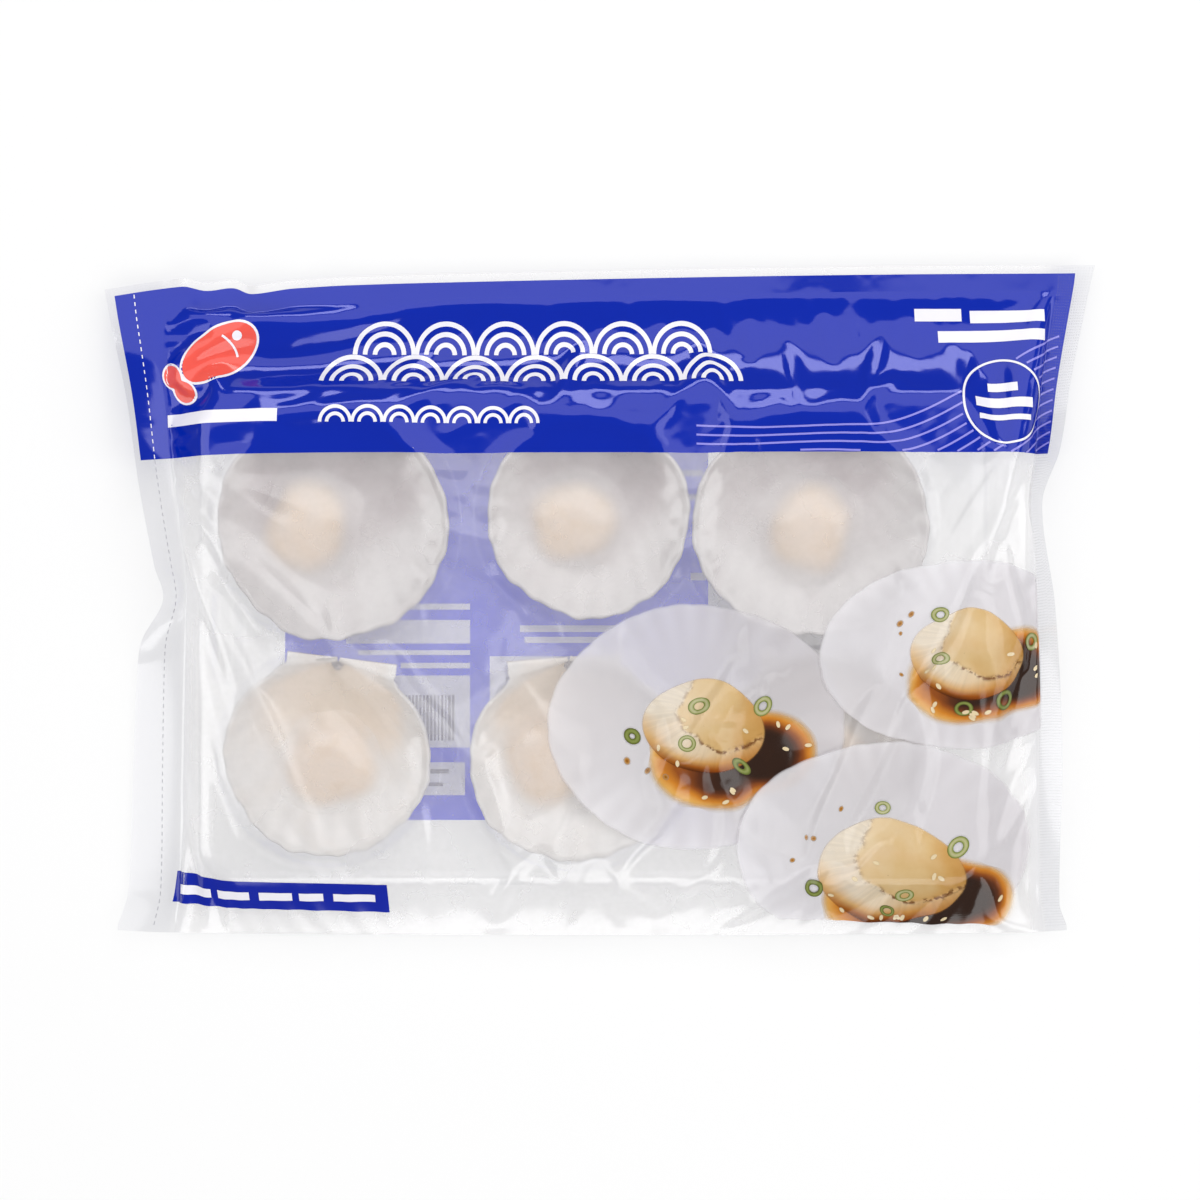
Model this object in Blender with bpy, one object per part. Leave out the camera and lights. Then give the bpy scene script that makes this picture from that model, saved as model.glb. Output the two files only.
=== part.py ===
"""A sealed clear bag of half-shell scallops, lying on its back.

The bag is one closed solid: a thin film pouch drawn tight over a tray of six scallops in their half shells.
A flat seal runs up the left side, up the right side and across the top, and the film is folded along the bottom.
Frame: metres, +X to the bag's right, +Y to its top seal, +Z up out of its printed front. The back rests on z = 0.
"""

import math

import bmesh
import bpy

MM = 0.001

# Driving dimensions, in millimetres.
TRAY_LEFT, TRAY_RIGHT = -131.5, 127.0
TRAY_BOTTOM, TRAY_TOP = -93.5, 70.0
TRAY_CORNER = 14.0
PLATEAU = 18.2  # height of the film over the tray's flange
SEAM_HEIGHT = 6.0  # the side and top seals leave the body at this height
FIN_THICKNESS = 0.9
FOLD_HEIGHT = 3.4  # middle of the folded bottom edge
FOLD_THICKNESS = 4.0
FOOT_LIFT = 2.0  # the corners of the fold turn up by this much
TOP_SEAL = 9.5
TOP_SEAL_DROOP = 3.2
BAND_BOTTOM = 47.5  # the blue header runs from here to the top seal
HEADER_MARGIN_LEFT, HEADER_MARGIN_RIGHT, HEADER_MARGIN_TOP = 2.8, 6.2, 3.6

# The bag's outline. The filled body draws the side seals in, most of all at a pinch part of the way up each side.
# Sides: (height up the bag, distance from its middle line). Ends: (distance from the middle line, height).
LEFT_EDGE = [(-109, -159), (-98, -156), (-60, -154.5), (-24, -153), (-12, -151), (2, -143), (14, -145.8),
             (43, -151), (76, -155.4), (103, -163.4)]
RIGHT_EDGE = [(-109, 153.8), (-101, 151.4), (-49, 152), (0, 149.4), (35, 144.8), (53, 151), (76, 155), (106, 163.4)]
TOP_EDGE = [(-163.4, 102.4), (-138, 106), (-130, 104.6), (-121, 105.6), (-115, 103.6), (-100, 105.6),
            (-60, 107.3), (72, 109.9), (163.4, 110.6)]
BOTTOM_EDGE = [(-159, -108.8), (-140, -109.8), (0, -110.6), (140, -109.8), (154, -108.8)]
BOTTOM_LEVEL, TOP_LEVEL = -110.6, 106.0  # heights between which the sides are looked up

# Where each side seal meets the body, and how far its outer edge stands above that line.
LEFT_SEAL = [(-109, -140.5), (-96, -138.2), (-60, -137.4), (8, -136.6), (26, -138.4), (52, -141), (103, -143.5)]
RIGHT_SEAL = [(-109, 146.5), (-95, 144.8), (20, 143.2), (35, 141.2), (53, 143.5), (76, 145.5), (110, 150)]
LEFT_LIFT = [(-109, 0.5), (-97, -3), (-22, -3), (-9, 4), (2, 10), (14, 10), (45, 8.5), (76, 7), (94, 2), (103, -1)]
RIGHT_LIFT = [(-109, 0.5), (-97, 1), (-49, 4), (0, 5.5), (35, 9), (53, 5), (76, 1), (110, -2)]

# The six half shells under the film: (x, y of the cup's middle, diameter).
SHELLS = [(-87.7, 25.6, 76), (-3.6, 28.4, 67), (68.7, 25.0, 77), (-89.4, -51.0, 67), (-7.9, -52.0, 69), (71.5, -51.5, 70)]
RIM_RISE, RIM_WIDTH = 1.5, 7.0
CUP_SAG = 1.2
MEAT_RISE, MEAT_RADIUS = 2.3, 15.0
GAP_SAG = 1.1

# Grid lines: across the left fin, the body and the right fin, and up the body and the top seal.
LEFT_COLUMNS, BODY_COLUMNS, RIGHT_COLUMNS = 4, 58, 2
BODY_ROWS, TOP_ROWS = 38, 2


def smooth_through(stations, at):
    """Value at one position of the smooth curve through (position, value) stations, level beyond its ends."""
    last = len(stations) - 1
    at = min(max(at, stations[0][0]), stations[last][0])
    i = next(k for k in range(last) if at <= stations[k + 1][0])

    def slope(k):
        before, after = stations[max(k - 1, 0)], stations[min(k + 1, last)]
        return (after[1] - before[1]) / (after[0] - before[0])

    (x0, y0), (x1, y1) = stations[i], stations[i + 1]
    span = x1 - x0
    u = (at - x0) / span
    rise = u * u * (3 - 2 * u)
    return y0 + (y1 - y0) * rise + span * slope(i) * u * (1 - u) ** 2 - span * slope(i + 1) * u * u * (1 - u)


def past_tray(x, y):
    """How far a point lies outside the tray's rounded rectangle."""
    middle_x, middle_y = (TRAY_LEFT + TRAY_RIGHT) / 2, (TRAY_BOTTOM + TRAY_TOP) / 2
    dx = abs(x - middle_x) - (TRAY_RIGHT - TRAY_LEFT) / 2 + TRAY_CORNER
    dy = abs(y - middle_y) - (TRAY_TOP - TRAY_BOTTOM) / 2 + TRAY_CORNER
    return max(math.hypot(max(dx, 0), max(dy, 0)) - TRAY_CORNER, 0)


def shell_relief(x, y):
    """Rise and fall of the film over the shells' rims, cups and meat, and its sag between them."""
    relief, nearest = 0.0, 0.0
    for middle_x, middle_y, diameter in SHELLS:
        distance = math.hypot(x - middle_x, y - middle_y)
        inside = min(max((diameter / 2 - distance) / RIM_WIDTH, 0), 1)
        relief += RIM_RISE * math.exp(-(((distance - diameter / 2 + RIM_WIDTH / 2) / RIM_WIDTH) ** 2))
        relief += MEAT_RISE * math.exp(-((distance / MEAT_RADIUS) ** 4)) - CUP_SAG * inside
        nearest = max(nearest, inside)
    return relief - GAP_SAG * (1 - nearest)


def header_folds(x, y):
    """Slack film between the tray and the top seal, in long shallow folds that run up the bag and along it."""
    up = min(max((y - TRAY_TOP) / (TOP_LEVEL - TOP_SEAL - TRAY_TOP), 0), 1)
    slack = math.sin(math.pi * up)
    return slack * (1.1 * math.sin(x / 13.0 + 1.5 * math.sin(x / 31.0)) + 0.8 * math.sin(y / 4.2 + x / 47.0))


def fin_heights(middle):
    return middle + FIN_THICKNESS / 2, middle - FIN_THICKNESS / 2


def seam_level(y):
    """Height of the seals' inner line, which comes down to the folded edge at the bag's bottom corners."""
    down = min(max((y - BOTTOM_LEVEL) / 22.0, 0), 1)
    return FOLD_HEIGHT + (SEAM_HEIGHT - FOLD_HEIGHT) * down


def body_heights(x, y, to_seam, to_fold):
    """Heights of the front and the back film between the seals, from the distances to the nearest seal and the fold."""
    outside = past_tray(x, y)
    side = outside / max(outside + min(to_seam, to_fold), 1e-6)
    fold_share = to_seam / max(to_seam + to_fold, 1e-6)
    edge = seam_level(y) + (FOLD_HEIGHT - seam_level(y)) * fold_share
    thickness = FIN_THICKNESS + (FOLD_THICKNESS - FIN_THICKNESS) * fold_share * min(to_seam / 6.0, 1)
    drop = 0.6 * math.cos(math.pi / 2 * side) + 0.4 * (1 - side)
    front = edge + thickness / 2 + (PLATEAU - edge - thickness / 2) * drop
    front += shell_relief(x, y) * (1 - side) ** 2
    front += header_folds(x, y) * min(to_seam / 8.0, 1)
    back = (edge - thickness / 2) * side**1.6
    return max(front, back + thickness), back


def film_point(column, row, side):
    """Place of one grid point of the front (side 0) or back (side 1) film, from its column and row."""
    up = row / BODY_ROWS if row <= BODY_ROWS else 1.0
    level = BOTTOM_LEVEL + (TOP_LEVEL - BOTTOM_LEVEL) * up
    left, left_in = smooth_through(LEFT_EDGE, level), smooth_through(LEFT_SEAL, level)
    right, right_in = smooth_through(RIGHT_EDGE, level), smooth_through(RIGHT_SEAL, level)
    on_left = 1 - column / LEFT_COLUMNS
    on_right = (column - LEFT_COLUMNS - BODY_COLUMNS) / RIGHT_COLUMNS
    if on_left > 0:
        x = left_in + (left - left_in) * on_left
    elif on_right > 0:
        x = right_in + (right - right_in) * on_right
    else:
        share = (column - LEFT_COLUMNS) / BODY_COLUMNS
        share += 0.5 * (0.5 - 0.5 * math.cos(math.pi * share) - share)  # closer together by the side walls
        x = left_in + (right_in - left_in) * share
    bottom, top = smooth_through(BOTTOM_EDGE, x), smooth_through(TOP_EDGE, x)
    y = bottom + (top - TOP_SEAL - bottom) * up + TOP_SEAL * max(row - BODY_ROWS, 0) / TOP_ROWS
    to_fold, to_top = y - bottom, top - TOP_SEAL - y
    droop = TOP_SEAL_DROOP * min(max(-to_top / TOP_SEAL, 0), 1)
    foot = FOOT_LIFT * max(0.0, 1 - to_fold / 14.0)
    if on_left > 0:
        lift = smooth_through(LEFT_LIFT, y) * on_left**1.3
        z = fin_heights(seam_level(y) - droop * (1 - on_left) + lift + foot * on_left)[side]
    elif on_right > 0:
        lift = smooth_through(RIGHT_LIFT, y) * on_right**1.3
        z = fin_heights(seam_level(y) - droop * (1 - on_right) + lift + foot * on_right)[side]
    elif to_top <= 0:
        z = fin_heights(SEAM_HEIGHT - droop)[side]
    else:
        z = body_heights(x, y, min(x - left_in, right_in - x, to_top), to_fold)[side]
    return x * MM, y * MM, z * MM


def film_grid(shape, side):
    """Adds one sheet of the bag to a mesh as a grid, and returns its outer edges."""
    columns, rows = LEFT_COLUMNS + BODY_COLUMNS + RIGHT_COLUMNS, BODY_ROWS + TOP_ROWS
    made = bmesh.ops.create_grid(shape, x_segments=columns, y_segments=rows, size=1)
    for vertex in made["verts"]:
        column = round((vertex.co.x + 1) / 2 * columns)
        row = round((vertex.co.y + 1) / 2 * rows)
        vertex.co = film_point(column, row, side)
    return [edge for edge in {e for v in made["verts"] for e in v.link_edges} if len(edge.link_faces) == 1]


def film_material(name, colour, roughness):
    material = bpy.data.materials.new(name)
    material.use_nodes = True
    shader = material.node_tree.nodes["Principled BSDF"]
    shader.inputs["Base Color"].default_value = (*colour, 1)
    shader.inputs["Roughness"].default_value = roughness
    shader.inputs["Metallic"].default_value = 0
    return material


def in_header(place):
    """Whether a point of the front lies on the printed header band."""
    x, y, _ = (part / MM for part in place)
    inside_left = x > smooth_through(LEFT_EDGE, y) + HEADER_MARGIN_LEFT
    inside_right = x < smooth_through(RIGHT_EDGE, y) - HEADER_MARGIN_RIGHT
    return inside_left and inside_right and BAND_BOTTOM < y < smooth_through(TOP_EDGE, x) - HEADER_MARGIN_TOP


def sealed_bag(collection):
    """The whole bag as one closed solid: front and back film on the same grid lines, joined round their edges."""
    shape = bmesh.new()
    outer_edges = film_grid(shape, 0) + film_grid(shape, 1)
    bmesh.ops.bridge_loops(shape, edges=outer_edges)
    bmesh.ops.recalc_face_normals(shape, faces=shape.faces)
    mesh = bpy.data.meshes.new("sealed_bag")
    shape.to_mesh(mesh)
    shape.free()
    mesh.materials.append(film_material("clear_film", (0.80, 0.80, 0.82), 0.18))
    mesh.materials.append(film_material("blue_print", (0.0, 0.02, 0.34), 0.22))
    for face in mesh.polygons:
        face.material_index = int(face.normal.z > 0 and in_header(face.center))
    mesh.shade_smooth()
    mesh.set_sharp_from_angle(angle=math.radians(50))
    bag = bpy.data.objects.new("sealed_bag", mesh)
    collection.objects.link(bag)
    return bag


for old in list(bpy.data.objects):
    bpy.data.objects.remove(old)
parts = bpy.data.collections.new("bag_of_half_shell_scallops")
bpy.context.scene.collection.children.link(parts)
sealed_bag(parts)
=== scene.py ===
"""A sealed clear bag of six frozen half-shell scallops in a clear tray, lying on its back under studio light.

Sizes are in millimetres in the bag's own frame: +X to its right, +Y to its top seal and +Z out of its
printed front. The sections follow the pack as it is filled: shells, meat, ligaments, tray, back film, front
film, prints, seals and studio.
"""

import math

import bmesh
import bpy
import numpy as np
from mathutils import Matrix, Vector


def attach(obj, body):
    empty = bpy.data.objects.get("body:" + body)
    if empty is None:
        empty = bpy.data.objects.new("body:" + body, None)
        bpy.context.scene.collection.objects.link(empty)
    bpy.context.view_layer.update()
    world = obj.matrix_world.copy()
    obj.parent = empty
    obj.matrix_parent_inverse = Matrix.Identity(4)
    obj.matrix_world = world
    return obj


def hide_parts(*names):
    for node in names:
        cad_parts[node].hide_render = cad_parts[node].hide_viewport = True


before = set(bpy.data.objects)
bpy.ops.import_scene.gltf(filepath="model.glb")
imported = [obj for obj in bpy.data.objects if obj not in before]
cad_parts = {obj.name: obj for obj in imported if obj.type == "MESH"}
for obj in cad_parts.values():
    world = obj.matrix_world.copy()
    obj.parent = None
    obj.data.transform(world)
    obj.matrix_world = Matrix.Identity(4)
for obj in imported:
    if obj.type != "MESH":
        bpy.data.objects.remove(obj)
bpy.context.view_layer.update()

MM = 0.001
WHITE = (1, 1, 1, 1)

# --------------------------------------------------------------------------------------------------
# Half shells. Each is the cupped valve of a farmed scallop, a ribbed fan of chalky white shell about 1.3 mm
# thick with two small ears beside its hinge. It lies cup down, so its smooth, faintly stained inside shows.
# --------------------------------------------------------------------------------------------------
# One row each: middle of the fan, diameter, turn of the hinge in degrees, cup depth, stain near the
# hinge, seed. The upper three are stained lavender grey, the lower three beige.
SHELLS = [
    (-87.7, 25.6, 76.0, 3.0, 13.0, 0.95, 11),
    (-3.6, 28.4, 67.0, -6.0, 12.6, 0.90, 12),
    (68.7, 25.0, 77.0, 5.0, 13.2, 0.45, 13),
    (-89.4, -51.0, 67.0, -7.0, 12.4, 0.85, 14),
    (-7.9, -52.0, 69.0, 4.0, 12.6, 0.95, 15),
    (71.5, -51.5, 70.0, 0.0, 12.6, 0.75, 16),
]
SHELL_RIM = 16.6  # height of the shells' margins
SHELL_WALL = 1.3
UMBO_SHARE = 0.97  # distance from the fan's middle to the umbo, in radii
EAR_SHARE = 0.54  # reach of an ear along the hinge, in radii
RIB_FAN = math.radians(69)  # the ribs fan out this far to each side
RIBS = 19


def linear(hex_colour):
    """An sRGB hex colour as linear RGBA."""
    parts = [int(hex_colour[i:i + 2], 16) / 255 for i in (1, 3, 5)]
    return tuple(c / 12.92 if c <= 0.04045 else ((c + 0.055) / 1.055) ** 2.4 for c in parts) + (1.0,)


def add_node(tree, kind, settings=None, **links):
    """Adds a node with its settings, and fills its inputs by name or number with values or nodes' outputs."""
    node = tree.nodes.new(kind)
    for key, value in (settings or {}).items():
        setattr(node, key, value)
    for key, value in links.items():
        numbered = key[0] == "i" and key[1:].isdigit()
        socket = node.inputs[int(key[1:]) if numbered else key.replace("_", " ")]
        if isinstance(value, bpy.types.NodeSocket):
            tree.links.new(value, socket)
        else:
            socket.default_value = value
    return node


def new_material(name):
    """A material with an empty tree, its tree and its output node."""
    material = bpy.data.materials.new(name)
    material.use_nodes = True
    tree = material.node_tree
    tree.nodes.clear()
    return material, tree, tree.nodes.new("ShaderNodeOutputMaterial")


def ramp_between(tree, factor, stops):
    """A colour ramp through (position, hex colour) stops."""
    node = add_node(tree, "ShaderNodeValToRGB", i0=factor)
    ramp = node.color_ramp
    while len(ramp.elements) < len(stops):
        ramp.elements.new(0.5)
    for element, (position, colour) in zip(ramp.elements, stops):
        element.position = position
        element.color = linear(colour)
    return node.outputs["Color"]


def value_of(tree, mark):
    """The value that the mesh carries under a mark's name."""
    return add_node(tree, "ShaderNodeAttribute", {"attribute_name": mark}).outputs["Fac"]


def own_coords(tree):
    """The piece's own coordinates in metres."""
    return add_node(tree, "ShaderNodeTexCoord").outputs["Object"]


def noise(tree, vector, scale, detail, **links):
    """Soft noise at a place, from 0 to 1."""
    node = add_node(tree, "ShaderNodeTexNoise", Vector=vector, Scale=scale, Detail=detail, **links)
    return node.outputs["Fac"]


def calc(tree, operation, *values, clamp=False):
    """A sum or product of sockets and numbers."""
    settings = {"operation": operation, "use_clamp": clamp}
    links = {f"i{number}": value for number, value in enumerate(values)}
    return add_node(tree, "ShaderNodeMath", settings, **links).outputs[0]


def ranged(tree, value, low, high, to_low=0.0, to_high=1.0):
    """A value in low..high carried over to the other range, and held at its ends."""
    ends = {"From_Min": low, "From_Max": high, "To_Min": to_low, "To_Max": to_high}
    return add_node(tree, "ShaderNodeMapRange", Value=value, **ends).outputs[0]


def mixed(tree, share, first, second, blend="MIX"):
    """A second colour laid over a first by a share."""
    settings = {"data_type": "RGBA", "blend_type": blend}
    return add_node(tree, "ShaderNodeMix", settings, i0=share, i6=first, i7=second).outputs[2]


def shader(tree, kind, **links):
    """A surface shader's output."""
    return add_node(tree, "ShaderNodeBsdf" + kind, **links).outputs[0]


def over(tree, share, under, upper):
    """A shader laid over another by a share."""
    return add_node(tree, "ShaderNodeMixShader", i0=share, i1=under, i2=upper).outputs[0]


def bumped(tree, height, strength, distance):
    """A normal roughened by a height, over a distance in metres."""
    return add_node(tree, "ShaderNodeBump", Strength=strength, Distance=distance, Height=height).outputs[0]


def finished(material, tree, output, surface):
    """The material with its surface joined to its output."""
    tree.links.new(surface, output.inputs[0])
    return material


def in_scene(name, data):
    """A new object in the scene."""
    thing = bpy.data.objects.new(name, data)
    bpy.context.scene.collection.objects.link(thing)
    return thing


def joined_patches(name, patches, marks=None, flats=None, flip=False):
    """One mesh from several grids of points in mm, with their values and their flat places as a UV map."""
    verts, quads, start = [], [], 0
    for points in patches:
        rows, columns = points.shape[:2]
        index = np.arange(rows * columns).reshape(rows, columns) + start
        faces = np.stack([index[:-1, :-1], index[:-1, 1:], index[1:, 1:], index[1:, :-1]],
                         axis=-1).reshape(-1, 4)
        quads.append(faces[:, ::-1] if flip else faces)
        verts.append(points.reshape(-1, 3))
        start += rows * columns
    verts, quads = np.concatenate(verts), np.concatenate(quads)
    mesh = bpy.data.meshes.new(name)
    mesh.from_pydata((verts * MM).tolist(), [], quads.tolist())
    for mark, values in (marks or {}).items():
        data = np.concatenate([np.broadcast_to(v, p.shape[:2]).ravel() for v, p in zip(values, patches)])
        mesh.attributes.new(mark, "FLOAT", "POINT").data.foreach_set("value", data.astype(np.float32))
    if flats is not None:
        flat = np.concatenate([f.reshape(-1, 2) for f in flats])
        mesh.uv_layers.new(name="flat").data.foreach_set("uv", flat[quads.ravel()].astype(np.float32).ravel())
    mesh.shade_smooth()
    return in_scene(name, mesh)


def grid_object(name, points, marks=None, flat=None, flip=False):
    """A mesh over one grid of points in mm."""
    marks = {mark: [values] for mark, values in (marks or {}).items()}
    return joined_patches(name, [points], marks, None if flat is None else [flat], flip)


def welded(piece):
    """Closes the seam where a grid meets itself, and turns its faces up."""
    work = bmesh.new()
    work.from_mesh(piece.data)
    bmesh.ops.remove_doubles(work, verts=work.verts, dist=0.02 * MM)
    bmesh.ops.recalc_face_normals(work, faces=work.faces)
    work.to_mesh(piece.data)
    work.free()
    if piece.data.polygons[0].normal.z < 0:
        piece.data.flip_normals()


def made_plain(piece):
    """Bakes a piece's modifiers into its mesh."""
    graph = bpy.context.evaluated_depsgraph_get()
    mesh = bpy.data.meshes.new_from_object(piece.evaluated_get(graph), preserve_all_data_layers=True,
                                           depsgraph=graph)
    piece.modifiers.clear()
    piece.data = mesh
    return piece


def fit_to_bag(piece, material=None):
    """Puts a finished piece on the bag's body, in place of the plain solid, with the material given, if any.
    """
    if material:
        piece.data.materials.append(material)
    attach(piece, "root")
    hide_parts("sealed_bag")


def smooth_step(value, low, high):
    """0 below low and 1 above high, with a smooth rise between."""
    share = np.clip((value - low) / (high - low), 0, 1)
    return share * share * (3 - 2 * share)


def shell_form(angle, share, diameter, depth, seed):
    """Distance from the umbo and depth below the rim, at an angle off the axis and a share of the way out."""
    radius = diameter / 2
    centre = UMBO_SHARE * radius
    bend = abs(angle)
    draw = np.random.default_rng(seed)
    sway, lobe = draw.uniform(0, 6.28, 3), draw.uniform(-1, 1, 2)
    fan = centre * np.cos(angle) + np.sqrt(radius**2 - (centre * np.sin(angle)) ** 2)
    fan *= 1 + 0.014 * np.sin(3 * angle + sway[0]) + 0.008 * np.sin(7 * angle + sway[1])
    fan *= 1 + 0.006 * np.sin(13 * angle + sway[2]) + 0.004 * np.sin(29 * angle + sway[0])
    ear = (EAR_SHARE + 0.05 * lobe[0] * np.sign(angle)) * radius / np.maximum(np.sin(bend), 0.5)
    ear *= smooth_step(bend, math.radians(62), math.radians(74))
    notch = 0.09 * radius * np.exp(-((bend - math.radians(69)) / math.radians(4)) ** 2)
    reach = np.maximum(fan, ear) - notch
    ribbed = 1 - smooth_step(bend, RIB_FAN - 0.15, RIB_FAN + 0.05)
    rib = np.cos(angle / RIB_FAN * RIBS * math.pi + 0.35 * np.sin(2 * angle + sway[2])) * ribbed
    reach = reach * (1 + 0.004 * rib)
    bowl = share**0.62 * (1 - share**2.1) / 0.552
    across = np.cos(np.minimum(bend / math.radians(76), 1) * math.pi / 2) ** 0.6
    sunk = depth * bowl * (0.06 + 0.94 * across) - 0.26 * rib * smooth_step(share, 0.35, 1.0)
    sunk += 0.35 * np.sin(3 * angle + 5 * share + sway[1]) * share
    return reach * share, sunk


def shell_stain(angle, share, level, seed):
    """How stained the shell is: most round the umbo, and hardly at all along the margin."""
    lean = (1 + 0.25 * np.sin(2 * angle + seed)) * (1 - 0.8 * smooth_step(abs(angle), 1.0, 1.3))
    level = level * lean * (1 - smooth_step(share * np.cos(angle), 0.18, 0.78))
    return level * (1 - 0.85 * smooth_step(share, 0.62, 0.95))


def shell_place(x_out, y_out, shell):
    """World x and y of points given from the umbo, with y_out running down the fan."""
    middle_x, middle_y, diameter, turn = shell[:4]
    turn = math.radians(turn)
    y_local = UMBO_SHARE * diameter / 2 - y_out
    x = middle_x + x_out * math.cos(turn) - y_local * math.sin(turn)
    y = middle_y + x_out * math.sin(turn) + y_local * math.cos(turn)
    return x, y


def shell_tint(tree, coords, tones):
    """The stain's colour: clouded, and strongest where the mesh's stain value says."""
    stain = value_of(tree, "stain")
    cloud = noise(tree, coords, 90.0, 5.0, Roughness=0.6)
    patchy = calc(tree, "MULTIPLY_ADD", cloud, 0.7, -0.35)
    return ramp_between(tree, calc(tree, "ADD", stain, patchy, clamp=True), tones)


def shell_material(name, tones):
    """Aragonite shell: a satin, slightly pearly white, stained towards the hinge, with painted shade in the
    grooves between its ribs.
    """
    material, tree, output = new_material(name)
    coords = own_coords(tree)
    colour = shell_tint(tree, coords, tones)
    # Painted shade: the grooves between the ribs are darkened a little, more towards the margin.
    groove_shade = calc(tree, "MULTIPLY", value_of(tree, "ribs"), 0.10)
    ribbed = mixed(tree, groove_shade, colour, linear("#a8a4ae"), "MULTIPLY")
    shade = mixed(tree, value_of(tree, "lip"), ribbed, linear("#8d7468"))
    bump = bumped(tree, noise(tree, coords, 700.0, 3.0), 0.25, 0.0003)
    surface = shader(tree, "Principled", Base_Color=shade, Roughness=0.42, IOR=1.5, Normal=bump)
    return finished(material, tree, output, surface)


GREY_STAIN = [(0.0, "#cec9ca"), (0.25, "#c1b8ba"), (0.6, "#a89a9e"), (1.0, "#8c7d83")]
BEIGE_STAIN = [(0.0, "#e0dddc"), (0.3, "#ded5ce"), (0.62, "#e1cfbd"), (1.0, "#d9c6b1")]
shell_paints = [shell_material("grey_stained_shell", GREY_STAIN),
                shell_material("beige_stained_shell", BEIGE_STAIN)]
shell_pieces = []
for number, shell in enumerate(SHELLS, 1):
    _, _, diameter, turn, depth, stain_level, seed = shell
    angles = np.radians(np.linspace(-90, 90, 217))
    shares = np.linspace(0.012, 1, 62) ** 0.9
    angle, share = np.meshgrid(angles, shares)
    reach, sunk = shell_form(angle, share, diameter, depth, seed)
    x, y = shell_place(reach * np.sin(angle), reach * np.cos(angle), shell)
    points = np.stack([x, y, SHELL_RIM - sunk], axis=-1)
    stained = shell_stain(angle, share, stain_level, seed)
    # 1 in the grooves between the ribs, where the shade is painted in.
    shaded_furrow = 0.5 - 0.5 * np.cos(angle / RIB_FAN * RIBS * math.pi)
    lip = smooth_step(abs(np.degrees(angle)), 88.6, 89.8) * 0.8
    marks = {"stain": stained, "ribs": shaded_furrow * share**2, "lip": lip}
    piece = grid_object(f"half_shell_{number}", points, marks)
    wall = piece.modifiers.new("wall", "SOLIDIFY")
    wall.thickness = SHELL_WALL * MM
    wall.offset = 1.0
    piece.data.flip_normals()
    made_plain(piece)
    fit_to_bag(piece, shell_paints[number > 3])
    shell_pieces.append(piece)

# --------------------------------------------------------------------------------------------------
# Meat. The muscle is a pale cream drum that stands in the cup up to the film. A soft collar of whitish
# membrane and ice glaze slopes from it to the shell. It is frozen raw, so it is matt cream with a faint
# moist sheen.
# --------------------------------------------------------------------------------------------------
# One row each: middle of the drum, radius, length over width, turn of its length in degrees, seed.
MEATS = [
    (-96.1, 24.2, 12.7, 1.20, 72.0, 21),
    (-8.6, 26.1, 12.2, 1.14, 8.0, 22),
    (69.0, 23.5, 12.6, 1.14, 80.0, 23),
    (-88.4, -54.2, 12.6, 1.08, 0.0, 24),
    (-17.0, -52.0, 13.2, 1.08, 90.0, 25),
    (73.0, -52.0, 12.6, 1.08, 30.0, 26),
]
MEAT_TOP = 16.4
COLLAR_REACH = 1.95  # reach of the membrane, in drum radii


def shell_inside(x, y, shell):
    """Height of a shell's inner surface at world points, and how stained it is there."""
    middle_x, middle_y, diameter, turn, depth, level, seed = shell
    turn = math.radians(turn)
    across = (x - middle_x) * math.cos(turn) + (y - middle_y) * math.sin(turn)
    along = -(x - middle_x) * math.sin(turn) + (y - middle_y) * math.cos(turn)
    down = UMBO_SHARE * diameter / 2 - along
    angle = np.clip(np.arctan2(across, down), -math.pi / 2, math.pi / 2)
    reach, _ = shell_form(angle, np.ones_like(angle), diameter, depth, seed)
    share = np.clip(np.hypot(across, down) / reach, 0.01, 1)
    _, sunk = shell_form(angle, share, diameter, depth, seed)
    return SHELL_RIM - sunk, shell_stain(angle, share, level, seed)


def meat_material(name, tones):
    """Raw frozen muscle: cream with a moist sheen. Through thin membrane the shell's stain shows."""
    material, tree, output = new_material(name)
    coords = own_coords(tree)
    cloud = noise(tree, coords, 140.0, 4.0, Roughness=0.55)
    flesh = ramp_between(tree, cloud, [(0.3, "#dbc9ba"), (0.5, "#decab8"), (0.7, "#dac3ac")])
    colour = mixed(tree, value_of(tree, "muscle"), shell_tint(tree, coords, tones), flesh)
    fibre = add_node(tree, "ShaderNodeTexVoronoi", Vector=coords, Scale=900.0).outputs["Distance"]
    bump = bumped(tree, fibre, 0.25, 0.0004)
    surface = shader(tree, "Principled", Base_Color=colour, Roughness=0.45, IOR=1.38, Normal=bump)
    return finished(material, tree, output, surface)


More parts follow.
